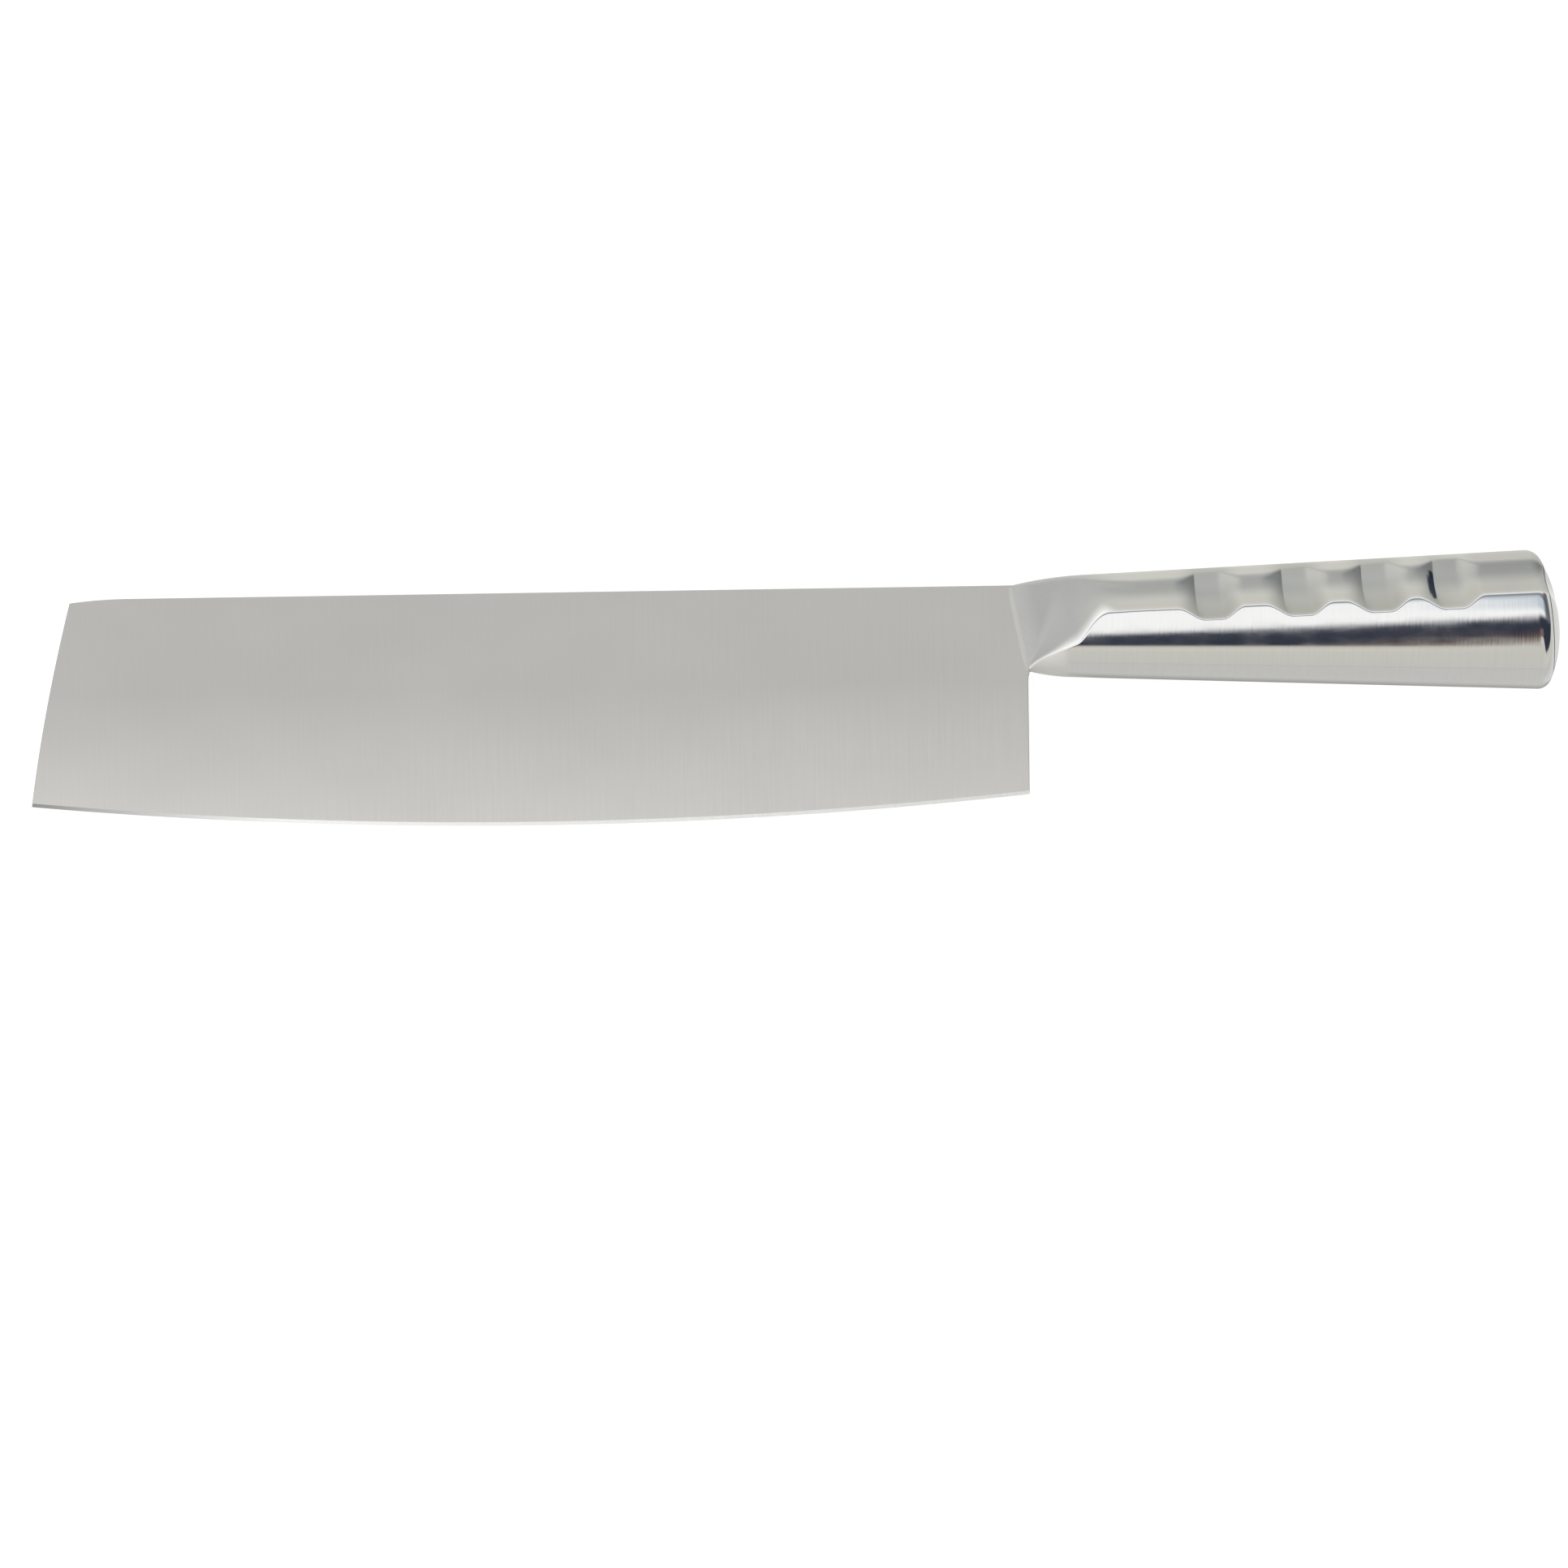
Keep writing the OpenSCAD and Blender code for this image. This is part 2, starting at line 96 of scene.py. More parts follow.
# Pressed flank
RIDGE_FRONT = 2.8
RIDGE_BUTT = 5.6
SHOULDER_START = 11.0
SHOULDER_END = 19.3
RIDGE_LOW_MOUTH = 8.25
RIDGE_LOW_SHOULDER = 3.9
RIDGE_NOSE = 0.85
RIDGE_NOSE_L = 3.7
MOUTH_HALF_T = 2.05
BOLSTER_RISE = 1.0
BOLSTER_RISE_L = 4.4
BOLSTER_L = 26.0
FLANK_TOP = 5.8
FLANK_TOP_BUTT = 8.4
COVE_W_MOUTH = 1.2
BOLSTER_HOLLOW = 2.4
FLANK_HOLLOW = 2.0
DIMPLE_HOLLOW = 2.8
STRIP_W = 3.2
STRIP_W_MOUTH = 1.2

# Finger dimples
DIMPLE_COUNT = 4
DIMPLE_FIRST = 38.1
DIMPLE_PITCH = 18.9
DIMPLE_PITCH_STEP = 1.7
DIMPLE_DEPTH = 2.0
DIMPLE_WALL_L = 4.6
DIMPLE_FLOOR_L = 5.0
DIMPLE_RAMP_L = 5.1
DIMPLE_SCALLOP = 2.7
DIMPLE_SCALLOP_LAG = 1.5
DIMPLE_STRIP_CUT = 1.8
WALL_POWER = 1.7

# Rounding of the ridge between the flank and the bulge
ROUND_MOUTH = 0.3
ROUND_SHOULDER = 0.5
ROUND_GRIP = 0.35
ROUND_RISE_FROM = 3.0
ROUND_RISE_L = 10.0
ROUND_FALL_L = 6.0

# Butt and welds
RIM_R = 3.0
RIM_TURN = math.radians(65)
DOME_STOP = math.radians(88)
SEAM_HALF_W = 0.4
CAP_WELD_W = 0.6
FILLET_W = 1.3

# Fineness of the meshes
BULGE_ROWS = 40
FLANK_ROWS = 40
STRIP_ROWS = 16
RIDGE_CROWD = 1.5
STATION_GAP = 0.5
VALLEY_EDGE = 0.08
NOSE_L = 3.0
NOSE_STATIONS = 13
RIM_STEPS = 12
DOME_STEPS = 24


def mix(a, b, t):
    return a + (b - a) * t


def smooth(t):
    s = min(1.0, max(0.0, t))
    return s * s * (3 - 2 * s)


def fade(u, length):
    """1 at u = 0, falling as a parabola to 0 at length."""
    return max(0.0, 1 - u / length) ** 2


# The handle's surface, as in the part's source: u is the distance from the mouth along the axis

def taper(u):
    return mix(TAPER_FRONT, TAPER_BUTT, u / SHELL_L)


def half_h(u, side):
    if side < 0:
        return taper(u) - NECK_LOW * fade(u, NECK_LOW_L)
    return taper(u) - NECK_TOP * fade(u, NECK_TOP_L)


def bulge(u):
    return mix(BULGE_START, BULGE_RATIO * taper(u), math.sin(math.pi / 2 * min(1.0, u / BULGE_NOSE_L)))


def valley(i):
    return DIMPLE_FIRST + i * DIMPLE_PITCH - DIMPLE_PITCH_STEP * i * (i - 1) / 2


def dip(s):
    """How deep a dimple is pressed at s behind its valley line, as a share."""
    if s < 0:
        return max(0.0, 1 + s / DIMPLE_WALL_L) ** WALL_POWER
    return 1 - smooth((s - DIMPLE_FLOOR_L) / DIMPLE_RAMP_L)


def scallop(s):
    """How far a dimple pushes the ridge down, as a share."""
    return min(smooth((s + DIMPLE_WALL_L) / (DIMPLE_WALL_L + DIMPLE_SCALLOP_LAG)),
               1 - smooth((s - DIMPLE_FLOOR_L) / DIMPLE_RAMP_L))


def dips(u):
    return max(dip(u - valley(i)) for i in range(DIMPLE_COUNT))


def scallops(u):
    return max(scallop(u - valley(i)) for i in range(DIMPLE_COUNT))


def shoulder(u):
    return smooth((u - SHOULDER_START) / (SHOULDER_END - SHOULDER_START))


def ridge_y(u):
    low = -mix(RIDGE_LOW_MOUTH, RIDGE_LOW_SHOULDER, u / SHOULDER_START) - RIDGE_NOSE * fade(u, RIDGE_NOSE_L)
    grip = mix(RIDGE_FRONT, RIDGE_BUTT, (u - SHOULDER_END) / (SHELL_L - SHOULDER_END))
    return mix(low, grip, shoulder(u)) - DIMPLE_SCALLOP * scallops(u)


def ridge_turn(u):
    y = ridge_y(u)
    return math.asin(y / half_h(u, y))


def bolster_z(u):
    return MOUTH_HALF_T + BOLSTER_RISE * (1 - fade(u, BOLSTER_RISE_L))


def ridge_round(u):
    """How far the ridge's rounding reaches to each side of it."""
    front = mix(ROUND_MOUTH, ROUND_SHOULDER, smooth((u - ROUND_RISE_FROM) / ROUND_RISE_L))
    return mix(front, ROUND_GRIP, smooth((u - SHOULDER_END) / ROUND_FALL_L))


def rounded_ridge(points, y_ridge, reach, bend):
    """The section with a parabola in place of the ridge, where its slopes differ by bend."""
    drop = max(0.0, reach * bend / 4)
    return [(y, z - drop * max(0.0, 1 - abs(y - y_ridge) / reach) ** 2) for y, z in points]


def section(u, w):
    """Points [height above axis, half thickness] at depth w below the skin, from belly seam to spine seam."""
    depth, turn = bulge(u) - w, ridge_turn(u)
    start = -math.acos(SEAM_HALF_W / depth)
    points = []
    y_skin, z_skin = ridge_y(u), bulge(u) * math.cos(turn)
    for j in range(BULGE_ROWS + 1):
        a = mix(start, turn, 1 - (1 - j / BULGE_ROWS) ** RIDGE_CROWD)
        points.append((math.sin(a) * (half_h(u, a) - w), depth * math.cos(a)))
    pressed = dips(u)
    flank_top = mix(FLANK_TOP, FLANK_TOP_BUTT, u / SHELL_L)
    z_top = mix(bolster_z(u), flank_top, smooth(u / BOLSTER_L)) - DIMPLE_DEPTH * pressed - w
    widen = smooth((u - SHOULDER_START) / (BOLSTER_L - SHOULDER_START))
    strip_w = mix(STRIP_W_MOUTH, STRIP_W, widen) - DIMPLE_STRIP_CUT * scallops(u)
    y_ridge, z_ridge = points[-1]
    top = half_h(u, 1) - w
    flank_w = top - strip_w - y_ridge
    cove_w = mix(COVE_W_MOUTH, flank_w, smooth(u / SHOULDER_START))
    hollow = mix(mix(BOLSTER_HOLLOW, FLANK_HOLLOW, shoulder(u)), DIMPLE_HOLLOW, pressed)
    for j in range(1, FLANK_ROWS + 1):
        t = (j / FLANK_ROWS) ** RIDGE_CROWD
        left = max(0.0, 1 - t * flank_w / cove_w)
        points.append((y_ridge + t * flank_w, mix(z_top, z_ridge, left ** hollow)))
    end = math.asin(SEAM_HALF_W / z_top)
    for j in range(1, STRIP_ROWS + 1):
        a = mix(math.pi / 2, end, j / STRIP_ROWS)
        points.append((top - strip_w * (1 - math.cos(a)), z_top * math.sin(a)))
    if w == 0:
        slopes = -depth / half_h(u, turn) * math.tan(turn), hollow * (z_ridge - z_top) / cove_w
        return rounded_ridge(points, y_ridge, ridge_round(u), sum(slopes))
    cove_w = mix(COVE_W_MOUTH, top + w - strip_w - y_skin, smooth(u / SHOULDER_START))

    def flank_z(y):
        left = min(1.0, max(0.0, 1 - (y - y_skin) / cove_w))
        return mix(z_top + w, z_skin, left ** hollow)

    return [(y, z) if y + w <= y_skin else (y, min(z, flank_z(y + w), flank_z(y) - w)) for y, z in points]


ROWS = BULGE_ROWS + FLANK_ROWS + STRIP_ROWS + 1
RIM_START = SHELL_L - RIM_R * math.sin(RIM_TURN)
RIM_IN = RIM_R * (1 - math.cos(RIM_TURN))
WELD_U = SHELL_L + CAP_WELD_W * math.cos(RIM_TURN)
WELD_IN = RIM_IN + CAP_WELD_W * math.sin(RIM_TURN)
DOME_R = (TAPER_BUTT - WELD_IN) / math.cos(RIM_TURN)
DOME_TIP = WELD_U + DOME_R * (1 - math.sin(RIM_TURN))


def lean(u):
    if u < RIM_START - BOLSTER_L:
        return mix(MOUTH_LEAN, GRIP_LEAN, smooth(u / BOLSTER_L))
    return mix(GRIP_LEAN, BUTT_LEAN, smooth((u - RIM_START + BOLSTER_L) / BOLSTER_L))


def skin_row(station, w):
    """One row of points in the row frame, in mm, of the skin at depth w. A station is (u, drawn in, roll)."""
    u = station[0] - w * math.sin(station[2])
    share = (station[1] - w * (1 - math.cos(station[2]))) / (TAPER_BUTT - w)
    row = []
    for y, z in section(u, w):
        y, z = y * (1 - share), mix(z, SEAM_HALF_W, share)
        row.append((u - MOUTH_BACK - lean(u) * y, y - AXIS_DROP, z))
    return np.array(row) - MIDDLE


def shell_stations():
    marks = set(np.linspace(0, RIM_START, round(RIM_START / STATION_GAP) + 1))
    marks |= set(NOSE_L * np.linspace(0, 1, NOSE_STATIONS) ** 2)
    for i in range(DIMPLE_COUNT):
        v = valley(i)
        marks |= {v - VALLEY_EDGE, v, v + VALLEY_EDGE}
    plain = [(u, 0.0, 0.0) for u in sorted(marks)]
    rim = []
    for k in range(1, RIM_STEPS + 1):
        a = RIM_TURN * k / RIM_STEPS
        rim.append((RIM_START + RIM_R * math.sin(a), RIM_R * (1 - math.cos(a)), a))
    return plain + rim


def dome_stations():
    stations = [(WELD_U, WELD_IN, RIM_TURN)]
    for k in range(1, DOME_STEPS + 1):
        a = mix(RIM_TURN, DOME_STOP, k / DOME_STEPS)
        u = WELD_U + DOME_R * (math.sin(a) - math.sin(RIM_TURN))
        stations.append((u, TAPER_BUTT - DOME_R * math.cos(a), a))
    return stations


# Blade: belly arc and corners, with the heel's spine corner as zero
HEEL = np.array([0.0, -HEEL_H])
TIP = np.array([-BLADE_L, -TIP_H])
SPINE_CORNER = np.array([-BLADE_L + FRONT_LEAN, -SPINE_DROP])
CHORD = HEEL - TIP
CHORD_L = math.hypot(*CHORD)
BELLY_R = (CHORD_L ** 2 / 4 + BELLY_SAG ** 2) / (2 * BELLY_SAG)
BELLY_C = (HEEL + TIP) / 2 + np.array([-CHORD[1], CHORD[0]]) / CHORD_L * (BELLY_R - BELLY_SAG)
BLADE_LOW = BELLY_C[1] - BELLY_R
KNIFE_TOP = half_h(RIM_START, 1) - AXIS_DROP
MIDDLE = np.array([(DOME_TIP - MOUTH_BACK - BLADE_L) / 2, (KNIFE_TOP + BLADE_LOW) / 2, 0.0])


# Mesh helpers: a grid is a list of equally long rows of points

def grid_quads(rows, columns, first=0, closed=False):
    """Quads of a grid of vertices that starts at index first; closed joins each row's end to its start."""
    quads = []
    for i in range(rows - 1):
        for j in range(columns if closed else columns - 1):
            a, b = first + i * columns + j, first + i * columns + (j + 1) % columns
            quads.append((a, b, b + columns, a + columns))
    return quads


# What each point of a shell knows of its finish and painted light: how bright the painted highlight beside
# the ridge is, how far it lies in the grip, how deep in a dimple (below zero behind the last one, a painted
# shade), how dark the spot of painted reflection is, how dull the polish
FINISH_AND_PAINTED_LIGHT = ("ridge_highlight", "grip", "pressed", "dark_reflection", "dulled")


def make_piece(name, points, faces, materials, replaces, face_material=None, sharp=(), flip=False,
               finish_and_light=None):
    """A closed mesh piece on the root body. points are in mm, sharp holds pairs of vertices."""
    mesh = bpy.data.meshes.new(name)
    if flip:
        faces = [tuple(reversed(f)) for f in faces]
    mesh.from_pydata((np.asarray(points) * MM).tolist(), [], faces)
    for material in materials:
        mesh.materials.append(material)
    if face_material:
        mesh.polygons.foreach_set("material_index", face_material)
    mesh.polygons.foreach_set("use_smooth", [True] * len(faces))
    if finish_and_light is not None:
        for k, channel in enumerate(FINISH_AND_PAINTED_LIGHT):
            values = np.ascontiguousarray(finish_and_light[:, k], dtype=np.float32)
            mesh.attributes.new(channel, "FLOAT", "POINT").data.foreach_set("value", values)
    if sharp:
        wanted = {frozenset(pair) for pair in sharp}
        for edge in mesh.edges:
            if frozenset(edge.vertices) in wanted:
                edge.use_edge_sharp = True
    mesh.validate()
    mesh.update()
    obj = bpy.data.objects.new(name, mesh)
    bpy.context.scene.collection.objects.link(obj)
    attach(obj, "root")
    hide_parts(*replaces)
    return obj


# Materials

# Base colours of the steels, with painted highlights on the bevel and beside the ridge, and a dark painted
# reflection
BLADE_STEEL = (0.563, 0.549, 0.522)
BEVEL_HIGHLIGHT_STEEL = (0.92, 0.92, 0.91)
BOLSTER_STEEL = (0.527, 0.526, 0.513)
SATIN_STEEL = (0.53, 0.528, 0.497)
FILLET_STEEL = (0.615, 0.61, 0.585)
POLISHED_STEEL = (0.62, 0.62, 0.615)
DULLED_STEEL = (0.66, 0.655, 0.635)
RIDGE_HIGHLIGHT_STEEL = (1.0, 1.0, 0.99)
DARK_REFLECTION_STEEL = (0.06, 0.07, 0.10)
GROOVE_STEEL = (0.16, 0.16, 0.17)
SATIN_ROUGHNESS = 0.59
POLISH_ROUGHNESS = 0.09
# Tones by place along the frame's axes in metres, fitted to the photograph: the cheeks are lighter towards
# the edge, a painted reflection, and darker towards the front end, painted shade where this studio's light
# came out too bright
EDGE_GREY = 1.25
EDGE_GREY_Y = (-0.0265, 0.0015)
FRONT_GREY = 0.91
FRONT_GREY_X = (-0.138, 0.039)
# The bevel's painted highlight, dimmed by painted shade from the front end to where it is full
BEVEL_GREY = (0.3, 1.0)
BEVEL_GREY_X = (-0.167, -0.112)
# Tones of the handle's satin, also fitted: on the bolster, on flat and sloped parts of the grip, where
# painted light and shade make sloped parts lighter and flat parts darker, in the dimples, and how much darker
# it gets behind them, which is painted shade
BOLSTER_GREY = 1.10
BOLSTER_DULLER = 0.2
FLAT_GREY = 0.86
SLOPE_GREY = 1.16
DIMPLE_GREY = 0.98
BUTT_DARKER = 0.12

class Shader:
    """A small helper round one material's node tree."""

    def __init__(self, name):
        self.material = bpy.data.materials.new(name)
        self.material.use_nodes = True
        self.nodes = self.material.node_tree.nodes
        self.links = self.material.node_tree.links
        self.principled = self.nodes["Principled BSDF"]
        self.coords = self.nodes.new("ShaderNodeTexCoord").outputs["Object"]

    def link(self, a, b):
        self.links.new(a, b)

    def noise(self, scale, detail):
        """Noise with its own number of grains per mm along X, Y and Z."""
        mapping = self.nodes.new("ShaderNodeMapping")
        mapping.inputs["Scale"].default_value = [s / MM for s in scale]
        noise = self.nodes.new("ShaderNodeTexNoise")
        noise.inputs["Scale"].default_value = 1.0
        noise.inputs["Detail"].default_value = detail
        self.link(self.coords, mapping.inputs["Vector"])
        self.link(mapping.outputs["Vector"], noise.inputs["Vector"])
        return noise.outputs["Fac"]

    def remap(self, value, low, high, start=0.3, end=0.7):
        node = self.nodes.new("ShaderNodeMapRange")
        node.inputs["From Min"].default_value = start
        node.inputs["From Max"].default_value = end
        node.inputs["To Min"].default_value = low
        node.inputs["To Max"].default_value = high
        self.link(value, node.inputs["Value"])
        return node.outputs["Result"]

    def math(self, operation, a, b):
        node = self.nodes.new("ShaderNodeMath")
        node.operation = operation
        for value, socket in ((a, node.inputs[0]), (b, node.inputs[1])):
            if isinstance(value, (int, float)):
                socket.default_value = value
            else:
                self.link(value, socket)
        return node.outputs[0]

    def tint(self, factor, colour):
        """The colour times a grey factor."""
        node = self.nodes.new("ShaderNodeVectorMath")
        node.operation = "SCALE"
        node.inputs[0].default_value = colour
        self.link(factor, node.inputs["Scale"])
        return node.outputs["Vector"]

    def blend(self, factor, a, b):
        node = self.nodes.new("ShaderNodeMix")
        node.data_type = "RGBA"
        self.link(factor, node.inputs["Factor"])
        for value, socket in ((a, node.inputs["A"]), (b, node.inputs["B"])):
            if isinstance(value, tuple):
                socket.default_value = (*value, 1)
            else:
                self.link(value, socket)
        return node.outputs["Result"]

    def bump(self, height, distance):
        """Relief of that many mm over the height's whole range."""
        node = self.nodes.new("ShaderNodeBump")
        node.inputs["Distance"].default_value = distance * MM
        self.link(height, node.inputs["Height"])
        self.link(node.outputs["Normal"], self.principled.inputs["Normal"])

    def attribute(self, name):
        node = self.nodes.new("ShaderNodeAttribute")
        node.attribute_name = name
        return node.outputs["Fac"]

    def facing(self):
        """How squarely a cheek's surface faces the side, from 0 to 1."""
        split = self.nodes.new("ShaderNodeSeparateXYZ")
        self.link(self.nodes.new("ShaderNodeTexCoord").outputs["Normal"], split.inputs[0])
        return self.math("ABSOLUTE", split.outputs["Z"], 0)

    def axis(self, letter):
        if not hasattr(self, "split"):
            self.split = self.nodes.new("ShaderNodeSeparateXYZ")
            self.link(self.coords, self.split.inputs[0])
        return self.split.outputs[letter]


def set_steel(shader, colour, roughness):
    p = shader.principled
    p.inputs["Metallic"].default_value = 1.0
    shader.link(colour, p.inputs["Base Color"])
    shader.link(roughness, p.inputs["Roughness"])


def blade_satin():
    s = Shader("blade_satin_steel")
    streaks = s.noise((1.8, 0.05, 0.05), 5)
    patches = s.noise((0.03, 0.05, 0.03), 2)
    grey = s.math("ADD", s.remap(streaks, 0.97, 1.03), s.remap(patches, -0.02, 0.02))
    # Painted light and shade: lighter towards the edge, darker towards the front end
    grey = s.math("MULTIPLY", grey, s.remap(s.axis("Y"), EDGE_GREY, 1.0, *EDGE_GREY_Y))
    grey = s.math("MULTIPLY", grey, s.remap(s.axis("X"), FRONT_GREY, 1.0, *FRONT_GREY_X))
    set_steel(s, s.tint(grey, BLADE_STEEL), s.remap(streaks, 0.54, 0.60))
    s.bump(streaks, 0.002)
    return s.material


def bevel_painted_bright():
    s = Shader("bevel_steel_painted_highlight")
    streaks = s.noise((3.0, 0.5, 0.5), 2)
    # Painted highlight: the bevel is near white, with painted shade towards the front end
    grey = s.math("MULTIPLY", s.remap(streaks, 0.97, 1.03), s.remap(s.axis("X"), *BEVEL_GREY, *BEVEL_GREY_X))
    set_steel(s, s.tint(grey, BEVEL_HIGHLIGHT_STEEL), s.remap(streaks, 0.46, 0.52))
    return s.material


def handle_satin():
    s = Shader("handle_satin_steel")
    grain = s.noise((1.5, 1.5, 1.5), 4)
    patches = s.noise((0.08, 0.08, 0.08), 1)
    grey = s.math("ADD", s.remap(grain, 0.985, 1.015), s.remap(patches, -0.015, 0.015))
    # Painted light and shade: sloped parts of the grip lighter, flat parts darker, by how they face
    sloped = s.remap(s.facing(), SLOPE_GREY - BOLSTER_GREY, FLAT_GREY - BOLSTER_GREY, 0.7, 1.0)
    dimple = s.math("MAXIMUM", s.attribute("pressed"), 0.0)
    butt = s.math("MINIMUM", s.attribute("pressed"), 0.0)
    level = s.math("MULTIPLY", s.attribute("grip"), s.math("SUBTRACT", 1.0, dimple))
    tone = s.math("ADD", s.math("MULTIPLY", sloped, level), BOLSTER_GREY)
    tone = s.math("ADD", tone, s.math("MULTIPLY", dimple, DIMPLE_GREY - BOLSTER_GREY))
    # Painted shade: the satin is darker behind the dimples
    tone = s.math("ADD", tone, s.math("MULTIPLY", butt, BUTT_DARKER))
    grey = s.math("MULTIPLY", grey, tone)
    colour = s.blend(s.attribute("grip"), s.tint(grey, BOLSTER_STEEL), s.tint(grey, SATIN_STEEL))
    # Painted highlight: near white beside the ridge
    colour = s.blend(s.attribute("ridge_highlight"), colour, RIDGE_HIGHLIGHT_STEEL)
    # Painted reflection: a dark spot on the last dimple's front wall
    colour = s.blend(s.attribute("dark_reflection"), colour, DARK_REFLECTION_STEEL)
    duller = s.math("MULTIPLY", s.math("SUBTRACT", 1.0, s.attribute("grip")), BOLSTER_DULLER)
    rough = s.math("ADD", s.remap(grain, SATIN_ROUGHNESS - 0.03, SATIN_ROUGHNESS + 0.03), duller)
    set_steel(s, colour, rough)
    s.bump(grain, 0.0006)
    return s.material


def handle_polish():
    s = Shader("handle_polished_steel")
    hairs = s.noise((2.5, 0.12, 0.12), 3)
    haze = s.noise((0.15, 0.4, 0.4), 2)
    rough = s.math("ADD", s.remap(haze, POLISH_ROUGHNESS - 0.03, POLISH_ROUGHNESS + 0.03),
                   s.math("MULTIPLY", s.attribute("dulled"), SATIN_ROUGHNESS - POLISH_ROUGHNESS))
    colour = s.tint(s.remap(hairs, 0.985, 1.015), POLISHED_STEEL)
    set_steel(s, s.blend(s.attribute("dulled"), colour, DULLED_STEEL), rough)
    s.bump(hairs, 0.002)
    return s.material


def weld_satin():
    s = Shader("weld_ground_steel")
    grain = s.noise((1.0, 1.0, 1.0), 4)
    grainy = s.remap(grain, 0.98, 1.02)
    # Painted light and shade: sloped parts of the weld lighter, flat parts darker, by how they face
    grey = s.math("MULTIPLY", grainy, s.remap(s.facing(), SLOPE_GREY, FLAT_GREY, 0.7, 1.0))
    set_steel(s, s.tint(grey, SATIN_STEEL), s.remap(grain, 0.54, 0.62))
    s.bump(grain, 0.001)
    return s.material


def fillet_satin():
    s = Shader("fillet_ground_steel")
    grain = s.noise((1.0, 1.0, 1.0), 4)
    set_steel(s, s.tint(s.remap(grain, 0.98, 1.02), FILLET_STEEL), s.remap(grain, 0.74, 0.80))
    return s.material


def weld_dark():
    s = Shader("weld_groove_steel")
    grain = s.noise((1.0, 1.0, 1.0), 4)
    set_steel(s, s.tint(s.remap(grain, 0.9, 1.1), GROOVE_STEEL), s.remap(grain, 0.3, 0.5))
    return s.material


MATERIALS = {
    "blade": blade_satin(),
    "bevel": bevel_painted_bright(),
    "satin": handle_satin(),
    "polish": handle_polish(),
    "weld": weld_satin(),
    "fillet": fillet_satin(),
    "groove": weld_dark(),
}


# Handle pieces

STATIONS = shell_stations()
OUTER = [skin_row(s, 0.0) for s in STATIONS]
INNER = [skin_row(s, WALL) for s in STATIONS]


def finish_and_light_row(u, row):
    """Finish and painted light of each point of a row, in the order of FINISH_AND_PAINTED_LIGHT."""
    away = np.linalg.norm((row - row[BULGE_ROWS])[:, :2], axis=1)
    grip = smooth((u - SHOULDER_START) / SHOULDER_START)
    width = mix(HIGHLIGHT_W_MOUTH, HIGHLIGHT_W_SHOULDER, smooth((u - ROUND_RISE_FROM) / ROUND_RISE_L))
    fall = smooth((u - SHOULDER_END + HIGHLIGHT_FADE_L / 2) / HIGHLIGHT_FADE_L)
    near = np.clip(1 - away / mix(width, HIGHLIGHT_W_GRIP, fall), 0, 1)
    ridge_highlight = mix(1.0, HIGHLIGHT_GRIP, fall) * near ** HIGHLIGHT_POWER
    last = valley(DIMPLE_COUNT - 1)
    across = (row[:, 1] + MIDDLE[1] + AXIS_DROP - SPOT_Y) / SPOT_HALF_H
    along_spot = (u - last + SPOT_BACK) / (SPOT_HALF_W * np.sqrt(np.clip(1 - across ** 2, SPOT_TIP, 1)))
    spot = np.clip((1 - along_spot ** 2) * SPOT_EDGE, 0, 1) * (np.abs(across) < 1) * (u < last)
    ones = np.ones(len(row))
    # Painted shade: below zero behind the last dimple
    pressed = dips(u) - BUTT_SHADE * smooth((u - BUTT_SHADE_FROM) / BUTT_SHADE_L)
    dulled = 1 - smooth((u - DULL_L) / DULL_FADE_L)
    return np.stack([ridge_highlight, grip * ones, pressed * ones, spot, dulled * ones], 1)


# Widths of the painted highlight beside the ridge, and how strong it is in the grip
HIGHLIGHT_W_MOUTH = 0.7
HIGHLIGHT_W_SHOULDER = 2.6
HIGHLIGHT_W_GRIP = 0.8
HIGHLIGHT_FADE_L = 4.0
HIGHLIGHT_GRIP = 0.15
HIGHLIGHT_POWER = 1.3
# The polish stays dull this far into the mouth's corner, then clears up
DULL_L = 6.5
DULL_FADE_L = 3.5
# Behind the last dimple the pressed channel falls below zero, which the satin shows as a darker tone, a
# painted shade
BUTT_SHADE = 0.8
BUTT_SHADE_FROM = 84.0
BUTT_SHADE_L = 14.0
# One painted reflection, a dark spot on the last dimple's front wall: height above the axis, half height,
# place and half width
SPOT_Y = 7.5
SPOT_HALF_H = 3.2
SPOT_BACK = 0.6
SPOT_HALF_W = 1.1
# How steep its border is, and how far its ends are cut short
SPOT_EDGE = 1.8
SPOT_TIP = 0.01


